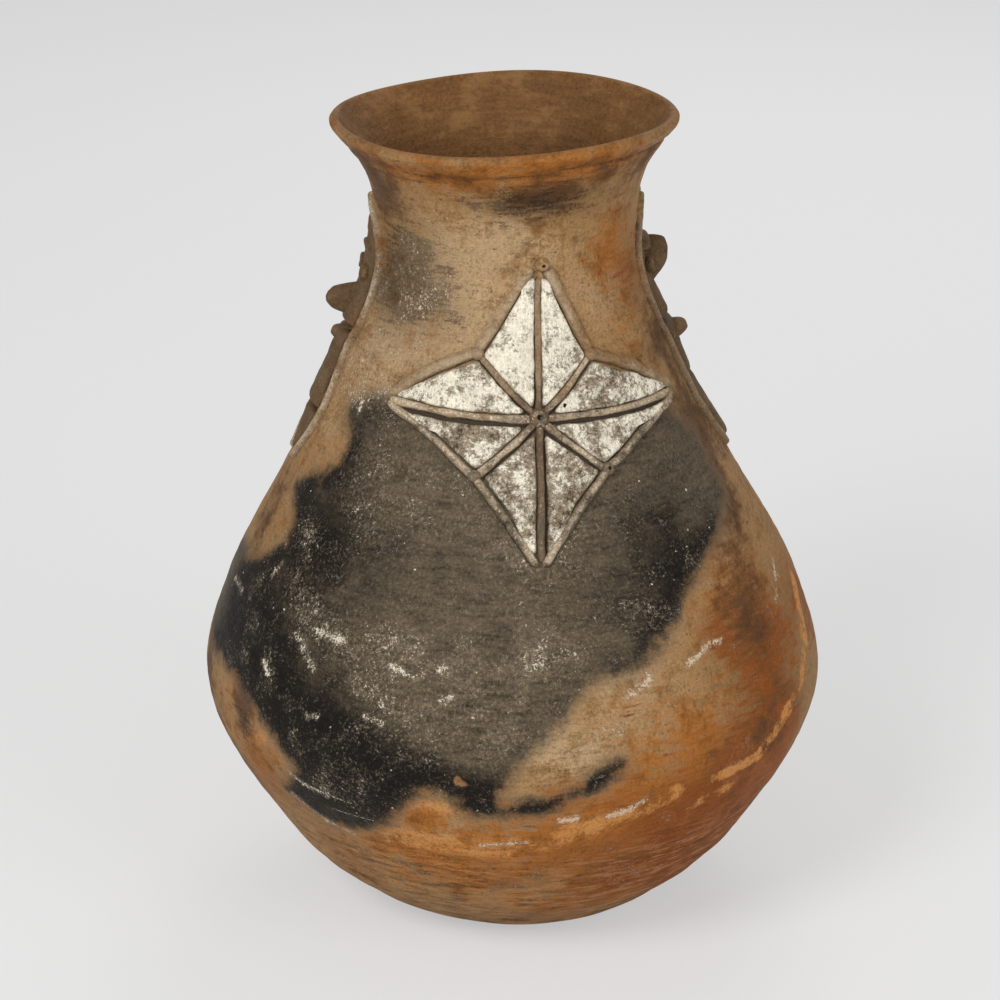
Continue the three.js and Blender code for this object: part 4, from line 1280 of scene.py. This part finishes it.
class Shader:
    """A node tree that is being written, with one method that adds any node."""

    def __init__(self, owner):
        self.owner = owner
        owner.use_nodes = True
        self.tree = owner.node_tree
        self.tree.nodes.clear()

    def add(self, kind, settings=None, inputs=None, output=0):
        node = self.tree.nodes.new(kind)
        for key, value in (settings or {}).items():
            setattr(node, key, value)
        for key, value in (inputs or {}).items():
            if isinstance(value, Link):
                self.tree.links.new(value.output, node.inputs[key])
            else:
                node.inputs[key].default_value = value
        return Link(self, node.outputs[output]) if node.outputs else None

    def place(self, stretch, slant=0):
        """Where the surface is, in millimetres, turned about Y by a slant in degrees and drawn out along the
        axes whose stretch is under 1."""
        here = self.add("ShaderNodeTexCoord", output="Object")
        turn = (0, math.radians(slant), 0)
        sockets = {"Vector": here, "Rotation": turn, "Scale": [MM / share for share in stretch]}
        return self.add("ShaderNodeMapping", {"vector_type": "TEXTURE"}, sockets)

    def value(self, name):
        return self.add("ShaderNodeAttribute", {"attribute_name": name}, output="Fac")

    def noise(self, spacing, detail, roughness=0.6, stretch=EVEN, slant=0):
        """Noise on both sides of 0, whose widest lumps lie a spacing apart."""
        vector = self.place(stretch, slant)
        sockets = {"Vector": vector, "Scale": 1 / spacing, "Detail": detail, "Roughness": roughness}
        return self.add("ShaderNodeTexNoise", {"normalize": False}, sockets)

    def specks(self, spacing, radius, share, ragged):
        """Scattered dots of a radius, on about a share of the cells that lie a spacing apart. Their edges
        follow a ragged noise."""
        sockets = {"Vector": self.place(EVEN), "Scale": 1 / spacing}
        cell = self.add("ShaderNodeTexVoronoi", None, sockets, "Distance")
        chance = Link(self, cell.output.node.outputs["Color"])
        red = self.add("ShaderNodeSeparateColor", None, {"Color": chance}, "Red")
        reach = radius / spacing
        return (cell + 0.9 * reach * ragged).ease(reach, 0.5 * reach) * red.ease(share + 0.02, share - 0.02)

    def mix(self, factor, first, second, blend="MIX"):
        settings = {"data_type": "RGBA", "blend_type": blend}
        colour = [c if isinstance(c, Link) else (*c, 1) for c in (first, second)]
        return self.add("ShaderNodeMix", settings, {0: factor, 6: colour[0], 7: colour[1]}, 2)

    def shade(self, colour, amount):
        """A colour made lighter or darker: an amount of 1 leaves it as it is."""
        grey = self.add("ShaderNodeCombineColor", None, {"Red": amount, "Green": amount, "Blue": amount})
        return self.mix(1.0, colour, grey, "MULTIPLY")

    def finish(self, colour, roughness, height, depth, specular):
        bump = self.add("ShaderNodeBump", None, {"Strength": 1.0, "Distance": depth * MM, "Height": height})
        sockets = {"Base Color": colour, "Roughness": roughness, "Normal": bump}
        sockets["Specular IOR Level"] = specular
        shader = self.add("ShaderNodeBsdfPrincipled", None, sockets)
        self.add("ShaderNodeOutputMaterial", None, {"Surface": shader})
        return self.owner


# The layers of fired clay, in the order in which they lie: name, how much it follows the mottling, how much
# it follows the wiping, and its strength
CLAY_LAYERS = (
    ("pale", 0.3, 0.2, 1.0),
    ("orange", -0.4, 0.3, 1.0),
    ("rust", 0.4, 0.3, 0.95),
    ("brown", -0.3, 0.25, 0.9),
)


def shared_noises(shader):
    """The noises that several layers share, from the widest to the finest."""
    return {
        "drift": shader.noise(90, 2),
        "mottle": shader.noise(26, 4, 0.75),
        "wiping": shader.noise(4, 3, 0.7, HORIZONTAL),
        "flaking": shader.noise(1.8, 3, 0.9),
        "grain": shader.noise(2.6, 2, 0.9),
        "hairs": shader.noise(1.6, 2, 0.8, UPRIGHT).most(shader.noise(1.6, 2, 0.8, UPRIGHT, HAIR_SLANT)),
    }


def clay_colour(shader, noises):
    """Colour of the clay where no smoke lies on it, and its pits."""
    tones = colours()
    grain, mottle, wiping = noises["grain"], noises["mottle"], noises["wiping"]
    scraped = shader.value("scraped")
    clay = tones.tan
    for name, mottled, wiped, strength in CLAY_LAYERS:
        amount = shader.value(name) + 0.3 * noises["drift"] + mottled * mottle
        covered = (amount + 0.15 * grain + wiped * wiping).ease(0.15, 0.95)
        clay = shader.mix(covered * strength, clay, getattr(tones, name))
    # Bright orange fire marks, and the painted light on the foot
    glowing = shader.value("glowing") * (1 + 0.6 * noises["flaking"] + 1.2 * mottle)
    clay = shader.mix(glowing.ease(0.3, 1.0) * 0.85, clay, tones.glow)
    texture = 0.3 * grain + 0.2 * mottle + (0.2 + 0.4 * scraped) * wiping + 0.16 * noises["hairs"]
    clay = shader.shade(clay, 0.98 + texture)
    streaks = (1.2 * wiping + 0.3 * grain).ease(0.1, 0.9) * scraped
    clay = shader.mix(streaks * 0.5, clay, tones.pale)
    pits = shader.specks(*PITS, noises["flaking"])
    clay = shader.mix(pits * 0.45, clay, tones.soot)
    return shader.mix(shader.specks(*GRIT, grain) * 0.65, clay, tones.grit), pits


def smoke_colour(shader, noises):
    """Colour of the fire cloud: black in thick soot and along its rim, with dust in its scratches."""
    tones = colours()
    grain, mottle, hairs = noises["grain"], noises["mottle"], noises["hairs"]
    rim = shader.value("cloud").ease(26, 3)
    soot = shader.value("soot") + 0.35 * rim + 0.4 * mottle + 0.2 * noises["drift"]
    smoke = shader.mix(soot.ease(0.05, 1.15), tones.smoke, tones.soot)
    texture = 0.35 * grain + 0.25 * mottle + 0.35 * noises["wiping"] + 0.2 * hairs
    smoke = shader.shade(smoke, 0.95 + texture)
    dust = 0.5 * hairs + 0.8 * grain + 0.4 * mottle + shader.value("rubbed")
    return shader.mix(dust.ease(0.4, 1.6) * 0.4, smoke, tones.ash)


def fired_surface(shader, noises):
    """Colour, roughness and height of fired clay, on the wall or on clay applied to it."""
    tones = colours()
    grain, mottle, flaking = noises["grain"], noises["mottle"], noises["flaking"]
    clay, pits = clay_colour(shader, noises)
    edge = shader.value("cloud") + 6 * mottle + 2 * grain + 2 * flaking
    clay = shader.mix(edge.ease(-20, 4) * 0.25, clay, tones.ash)
    cloud = edge.ease(-8, 7)
    colour = shader.mix(cloud, clay, smoke_colour(shader, noises))
    # Smudges, with the painted shadow under the rim and painted shade in the folds of the lip
    smudged_and_shaded = shader.value("smudge") + 0.5 * mottle + 0.4 * grain + 0.45 * noises["wiping"]
    colour = shader.mix(smudged_and_shaded.ease(0.4, 1.1) * 0.72, colour, tones.soot)
    film = (shader.value("rubbed") + 0.5 * mottle + 0.4 * grain + 0.4 * flaking).ease(0.2, 1.3)
    colour = shader.mix(film * 0.45, colour, tones.ash)
    worn = shader.value("rubbed") + 0.55 * flaking + 0.4 * grain + 0.45 * mottle
    flecks = shader.specks(*FLECKS, grain) * cloud
    line = shader.value("scratch").size().ease(0.5, 0.25) * flaking.ease(-0.2, 0.2)
    marks = (worn.ease(1.05, 1.3) * 0.85).most(flecks * 0.8).most(line * 0.6)
    whiteness = shader.mix(cloud * 0.45 + 0.55, tones.glow, tones.lime)
    colour = shader.mix(marks, colour, whiteness)
    height = 0.3 * grain + 0.3 * mottle + 0.25 * noises["wiping"] - 0.4 * pits + 0.1 * marks
    roughness = 0.66 + 0.12 * grain - 0.08 * cloud + 0.2 * marks
    return colour, roughness, height


def fired_material():
    """Burnished clay outside, and clay wiped round in bands inside."""
    shader = Shader(bpy.data.materials.new("burnished_clay"))
    noises = shared_noises(shader)
    grain, mottle, wiping, drift = (noises[name] for name in ("grain", "mottle", "wiping", "drift"))
    colour, roughness, height = fired_surface(shader, noises)
    wiped = 1 + 0.25 * grain + 0.15 * mottle + 0.15 * wiping + 0.2 * drift
    inner = shader.shade(colours().inside, wiped)
    lit = (0.7 * mottle + 0.25 * wiping + 0.5 * drift).ease(0.05, 0.8)
    inner = shader.mix(lit * 0.35, inner, colours().tan)
    colour = shader.mix(shader.value("inside"), colour, inner)
    return shader.finish(colour, roughness, height, size("grain"), CLAY_GLOSS)


def relief_material():
    """Applied clay: greyed on the star and dark on the masks, with lime left here and there, and painted
    shade in its creases.
    """
    shader = Shader(bpy.data.materials.new("applied_clay"))
    noises = shared_noises(shader)
    mottle, flaking = noises["mottle"], noises["flaking"]
    colour, roughness, height = fired_surface(shader, noises)
    colour = greyed_colour(shader, noises, colour)
    crease = shader.value("crease")
    remains = (shader.value("lime") + 0.6 * flaking + 0.3 * mottle - 0.4 * crease).ease(0.7, 1.05)
    colour = shader.mix(remains * 0.75, colour, colours().lime)
    # Painted shade: black along the creases of applied clay
    dark = (crease + 0.4 * mottle + 0.3 * flaking).ease(0.35, 1.0)
    colour = shader.mix(dark * 0.8, colour, colours().soot)
    return shader.finish(colour, roughness, height, size("grain"), CLAY_GLOSS)


def greyed_colour(shader, noises, colour):
    """Applied clay as ash, smoke, thin lime and wear left it, before the flakes of lime and the painted shade
    of the creases. Its flanks turn brown, partly as darker clay and partly as painted shade, and its crests
    lighter, partly from wear and partly as a painted highlight.
    """
    tones = colours()
    grain, mottle, flaking = noises["grain"], noises["mottle"], noises["flaking"]
    crest, grey, lime = shader.value("crest"), shader.value("greyed"), shader.value("lime")
    texture = 1 + 0.25 * grain + 0.35 * mottle + 0.1 * flaking
    ashen = grey * (0.65 + 0.4 * mottle + 0.1 * flaking)
    colour = shader.mix(ashen, colour, shader.shade(tones.ash, texture))
    darkened = (shader.value("smoked") + 0.4 * mottle).ease(0.2, 0.9)
    dark_clay = shader.mix(0.5, tones.brown, tones.smoke)
    colour = shader.mix(darkened * 0.85, colour, shader.shade(dark_clay, texture))
    unsmoked = 1 - 0.8 * darkened
    creamy = (lime + 0.5 * mottle + 0.15 * grain).ease(0, 0.9) * grey
    cream = shader.mix(0.25, tones.pale, tones.lime)
    colour = shader.mix(creamy * unsmoked * 0.6, colour, shader.shade(cream, texture))
    # Brown flanks: partly darker clay, partly painted shade on the sides of the strips
    flank = (0.8 - 0.8 * crest + 0.7 * mottle).ease(0.3, 1.1) * grey
    colour = shader.mix(flank * 0.55, colour, shader.shade(tones.brown, texture))
    # Lighter crests: partly wear, partly a painted highlight on the tops of the strips
    light = (0.6 * crest + 0.5 * mottle + 0.2 * flaking).ease(0.5, 1.1)
    return shader.mix(light * unsmoked * 0.35, colour, tones.pale)


def lime_material():
    """Lime paint over a clay pad: cream where it lasted, a thin film where it wore, smoked clay elsewhere,
    with a painted line of shade along its edge and painted shade in its hole.
    """
    shader = Shader(bpy.data.materials.new("flaked_lime"))
    tones = colours()
    noises = shared_noises(shader)
    grain, mottle, flaking = noises["grain"], noises["mottle"], noises["flaking"]
    clay, pits = clay_colour(shader, noises)
    smoked = (shader.value("smoked") + 0.4 * mottle).ease(0, 1)
    bare = shader.mix(smoked, clay, shader.shade(tones.smoke, 0.7 + 0.5 * grain + 0.4 * mottle))
    wear = shader.noise(11, 6, 0.8)
    held = shader.value("lime") + 0.75 * wear
    film = shader.mix(held.ease(0.25, 1.3), tones.ash, tones.lime)
    film = shader.shade(film, 0.92 + 0.35 * grain + 0.4 * flaking)
    colour = shader.mix((held + 0.3 * grain + 0.3 * mottle).ease(-0.7, 0.4), bare, film)
    brushed = shader.noise(1.3, 3, 0.8, UPRIGHT)
    paint = shader.shade(tones.lime, 1.05 + 0.2 * brushed + 0.16 * flaking + 0.16 * mottle)
    painted = (held + 0.35 * flaking).ease(0.65, 1.1)
    colour = shader.mix(painted, colour, paint)
    # Painted shade: a brown line along the field's edge
    crease = (shader.value("crease") + 0.4 * mottle + 0.3 * flaking).ease(0.5, 1.2)
    colour = shader.mix(crease * 0.45, colour, tones.brown)
    # Painted shade: the small poked hole is painted black
    colour = shader.mix(shader.value("hole").ease(HOLE_RADIUS + 0.4, HOLE_RADIUS), colour, tones.soot)
    height = 0.3 * painted + 0.3 * grain + 0.25 * flaking - 0.4 * pits
    return shader.finish(colour, LIME_ROUGHNESS, height, size("grain"), LIME_GLOSS)


def shared_material(name, make):
    """A material that several operators use: made once, then found by its name."""
    return bpy.data.materials.get(name) or make()


# Operators
class JAR_OT_walls(bpy.types.Operator):
    """Build the five coiled stages of the wall"""

    bl_idname = "jar.walls"
    bl_label = "Walls"

    def execute(self, context):
        material = shared_material("burnished_clay", fired_material)
        for node, (low, high) in STAGES.items():
            build_stage(node, low, high, material)
        return {"FINISHED"}


class JAR_OT_star_strips(bpy.types.Operator):
    """Lay the edging strips and the ribs of the star"""

    bl_idname = "jar.star_strips"
    bl_label = "Star Strips"

    def execute(self, context):
        material = shared_material("applied_clay", relief_material)
        for i, (tip_name, corner_name) in enumerate(star_sides()):
            build_edge(tip_name, corner_name, material, 40 + 3 * i)
        for i, (name, spot) in enumerate([*STAR_TIPS.items(), *STAR_CORNERS.items()]):
            build_rib(name, spot, material, 80 + 3 * i)
        return {"FINISHED"}


class JAR_OT_star_fields(bpy.types.Operator):
    """Press the painted pads into the star"""

    bl_idname = "jar.star_fields"
    bl_label = "Star Fields"

    def execute(self, context):
        material = shared_material("flaked_lime", lime_material)
        for i, (tip_name, corner_name) in enumerate(star_sides()):
            build_field(tip_name, corner_name, material, 110 + 3 * i)
        return {"FINISHED"}


class JAR_OT_star_pellets(bpy.types.Operator):
    """Press the pellets and the boss onto the star"""

    bl_idname = "jar.star_pellets"
    bl_label = "Star Pellets"

    def execute(self, context):
        material = shared_material("applied_clay", relief_material)
        place = star_place()
        radius, height = size("pellet_radius"), size("pellet_height")
        for i, (name, spot) in enumerate(STAR_CORNERS.items()):
            rings = pellet_rings(height, name == PIERCED_CORNER)
            # Painted shade round the foot of each pellet and in the pierced one
            looks = {"crease": 0.9, "greyed": 0.6, "smoked": 0.3}
            dome(f"star_pellet_{name}", place(*spot), radius, radius, rings, material, 150 + i, **looks)
        looks = {"crease": 0, "greyed": 0.1}
        rings = pellet_rings(height, True)
        dome("star_tip_pellet", place(*TIP_PELLET), radius, radius, rings, material, 155, **looks)
        # The boss keeps the default painted shade round its foot and in its hole
        looks = {"lime": 0.3, "greyed": 0.7, "smoked": 0.8}
        rings = pellet_rings(size("boss_height"), True)
        boss = size("boss_radius")
        dome("star_centre_boss", place(0, 0), boss, boss, rings, material, 156, **looks)
        return {"FINISHED"}


class JAR_OT_mask_borders(bpy.types.Operator):
    """Lay the borders round the masks"""

    bl_idname = "jar.mask_borders"
    bl_label = "Mask Borders"

    def execute(self, context):
        material = shared_material("applied_clay", relief_material)
        for i, (side, mask) in enumerate(MASKS.items()):
            place = mask_place(mask)
            for way, sign in fronts(side).items():
                path = np.stack(place(sign * MASK_OUTLINE[:, 0], MASK_OUTLINE[:, 1]), -1)
                node = f"{side}_mask_border_{way}"
                lime, grey, smoked = (0.35, 0.7, 0.15) if side == "left" else (0.1, 0.4, 0.4)
                looks = {"lime": lime, "greys": (grey, grey), "smoked": smoked}
                strip(node, path, size("border_width"), size("border_height"), material, 160 + 6 * i, **looks)
        return {"FINISHED"}


class JAR_OT_mask_plates(bpy.types.Operator):
    """Lay the plates of the masks like shingles inside their borders"""

    bl_idname = "jar.mask_plates"
    bl_label = "Mask Plates"

    def execute(self, context):
        material = shared_material("applied_clay", relief_material)
        for i, (side, mask) in enumerate(MASKS.items()):
            plates = {
                "face_plate": (mask["face_top"], FACE_FOOT, mask["face"]),
                "tail_upper": (TAIL_TOP, mask["split"], mask["upper_tail"]),
                "tail_lower": (mask["split"] - SHINGLE_STEP, TAIL_FOOT, mask["lower_tail"]),
            }
            for j, (name, (top, foot, thick)) in enumerate(plates.items()):
                build_plate(f"{side}_mask_{name}", mask, top, foot, thick, material, 180 + 5 * i + j)
        return {"FINISHED"}


class JAR_OT_mask_features(bpy.types.Operator):
    """Set the brows, eyes, noses and chins on the masks"""

    bl_idname = "jar.mask_features"
    bl_label = "Mask Features"

    def execute(self, context):
        material = shared_material("applied_clay", relief_material)
        brow = size("brow_width"), size("brow_height")
        for i, (side, mask) in enumerate(MASKS.items()):
            place = mask_place(mask)
            share = np.linspace(-1, 1, BROW_POINTS)
            arch = np.stack(place(share * BROW_HALF_SPAN, BROW_RISE + BROW_ARCH * (1 - share**2)), -1)
            strip(f"{side}_mask_brow", arch, *brow, material, 200 + 3 * i, greys=(0, 0), smoked=0.85)
            for way, sign in fronts(side).items():
                build_eye(f"{side}_mask_eye_{way}", mask, sign, material, 210 + i)
            for name, half_width in (("nose", NOSE_HALF_WIDTH), ("chin", CHIN_RADIUS)):
                rise, half_height, reach, tip_rise = mask[name]
                node = f"{side}_mask_{name}_lug"
                rings = lug_rings(reach)
                # Painted shade round the foot of each lug
                looks = {"tip_rise": tip_rise, "crease": 0.4, "smoked": 1}
                dome(node, place(0, rise), half_width, half_height, rings, material, 220 + i, **looks)
        return {"FINISHED"}


# Stage
CAMERA_HEIGHT = 1.2291
CAMERA_DISTANCE = 2.3249
CAMERA_TILT = 21.57
CAMERA_LENS = 116.4
CAMERA_SHIFT = (-0.0142, 0.0045)
AIM = (0, 0, 0.3)
# Soft lamps, as (name, place, size, power)
LAMPS = [
    ("key_lamp", (-1.5, -2.3, 2.5), 1.4, 62),
    ("fill_lamp", (2.1, -2.0, 1.5), 1.8, 26),
    ("back_lamp", (0.6, 2.6, 2.4), 1.8, 26),
]
WORLD_LIGHT = 0.42
FLOOR_COLOUR = srgb(236, 236, 236)
FLOOR_EVENNESS = 0.55
FLOOR_REACH = 40


class JAR_OT_stage(bpy.types.Operator):
    """Set the floor, the soft lamps and the camera"""

    bl_idname = "jar.stage"
    bl_label = "Stage"

    def execute(self, context):
        make_floor()
        make_world()
        for name, place, width, power in LAMPS:
            make_lamp(name, place, width, power)
        make_camera()
        context.scene.view_settings.view_transform = "Standard"
        return {"FINISHED"}


def make_floor():
    mesh = bpy.data.meshes.new("floor")
    corners = [(x * FLOOR_REACH, y * FLOOR_REACH, 0) for x, y in ((-1, -1), (1, -1), (1, 1), (-1, 1))]
    mesh.from_pydata(corners, [], [(0, 1, 2, 3)])
    floor = bpy.data.objects.new("floor", mesh)
    bpy.context.collection.objects.link(floor)
    mesh.materials.append(floor_material())


def floor_material():
    """A pale floor that keeps the jar's shadow and looks even to the camera."""
    shader = Shader(bpy.data.materials.new("pale_floor"))
    lit = shader.add("ShaderNodeBsdfDiffuse", None, {"Color": (*FLOOR_COLOUR, 1)})
    even = shader.add("ShaderNodeEmission", None, {"Color": (*FLOOR_COLOUR, 1)})
    seen = shader.add("ShaderNodeLightPath", output="Is Camera Ray")
    both = shader.add("ShaderNodeMixShader", None, {0: seen * FLOOR_EVENNESS, 1: lit, 2: even})
    shader.add("ShaderNodeOutputMaterial", None, {"Surface": both})
    return shader.owner


def make_world():
    """Soft light from all round, pale where the camera sees it."""
    shader = Shader(bpy.data.worlds.new("studio"))
    seen = shader.add("ShaderNodeLightPath", output="Is Camera Ray")
    strength = WORLD_LIGHT + (1 - WORLD_LIGHT) * seen
    light = shader.add("ShaderNodeBackground", None, {"Color": (*FLOOR_COLOUR, 1), "Strength": strength})
    shader.add("ShaderNodeOutputWorld", None, {"Surface": light})
    bpy.context.scene.world = shader.owner


def make_lamp(name, place, width, power):
    lamp = bpy.data.lights.new(name, "AREA")
    lamp.shape = "DISK"
    lamp.size = width
    lamp.energy = power
    obj = bpy.data.objects.new(name, lamp)
    bpy.context.collection.objects.link(obj)
    obj.location = place
    turn_to(obj, AIM)


def turn_to(obj, target):
    direction = [goal - start for goal, start in zip(target, obj.location)]
    across = math.hypot(direction[0], direction[1])
    obj.rotation_euler = (math.atan2(across, -direction[2]), 0, math.atan2(-direction[0], direction[1]))


def make_camera():
    camera = bpy.data.cameras.new("camera")
    camera.lens = CAMERA_LENS
    camera.shift_x, camera.shift_y = CAMERA_SHIFT
    obj = bpy.data.objects.new("camera", camera)
    bpy.context.collection.objects.link(obj)
    obj.location = (0, -CAMERA_DISTANCE, CAMERA_HEIGHT)
    obj.rotation_euler = (math.radians(90 - CAMERA_TILT), 0, 0)
    bpy.context.scene.camera = obj


OPERATORS = (
    JAR_OT_walls,
    JAR_OT_star_strips,
    JAR_OT_star_fields,
    JAR_OT_star_pellets,
    JAR_OT_mask_borders,
    JAR_OT_mask_plates,
    JAR_OT_mask_features,
    JAR_OT_stage,
)


class JAR_PT_panel(bpy.types.Panel):
    """The steps of building the jar"""

    bl_idname = "JAR_PT_panel"
    bl_label = "Storage Jar"
    bl_space_type = "VIEW_3D"
    bl_region_type = "UI"
    bl_category = "Storage Jar"

    def draw(self, context):
        for operator in OPERATORS:
            self.layout.operator(operator.bl_idname)
        for settings in (context.scene.jar_colours, context.scene.jar_surface):
            box = self.layout.box()
            for name in settings.bl_rna.properties.keys():
                if name not in ("rna_type", "name"):
                    box.prop(settings, name)


CLASSES = (ClayColours, ClaySurface, *OPERATORS, JAR_PT_panel)


def register():
    for cls in CLASSES:
        bpy.utils.register_class(cls)
    bpy.types.Scene.jar_colours = bpy.props.PointerProperty(type=ClayColours)
    bpy.types.Scene.jar_surface = bpy.props.PointerProperty(type=ClaySurface)


def unregister():
    del bpy.types.Scene.jar_surface
    del bpy.types.Scene.jar_colours
    for cls in reversed(CLASSES):
        bpy.utils.unregister_class(cls)


def main():
    register()
    bpy.ops.jar.walls()
    bpy.ops.jar.star_strips()
    bpy.ops.jar.star_fields()
    bpy.ops.jar.star_pellets()
    bpy.ops.jar.mask_borders()
    bpy.ops.jar.mask_plates()
    bpy.ops.jar.mask_features()
    bpy.ops.jar.stage()


if __name__ == "__main__":
    main()
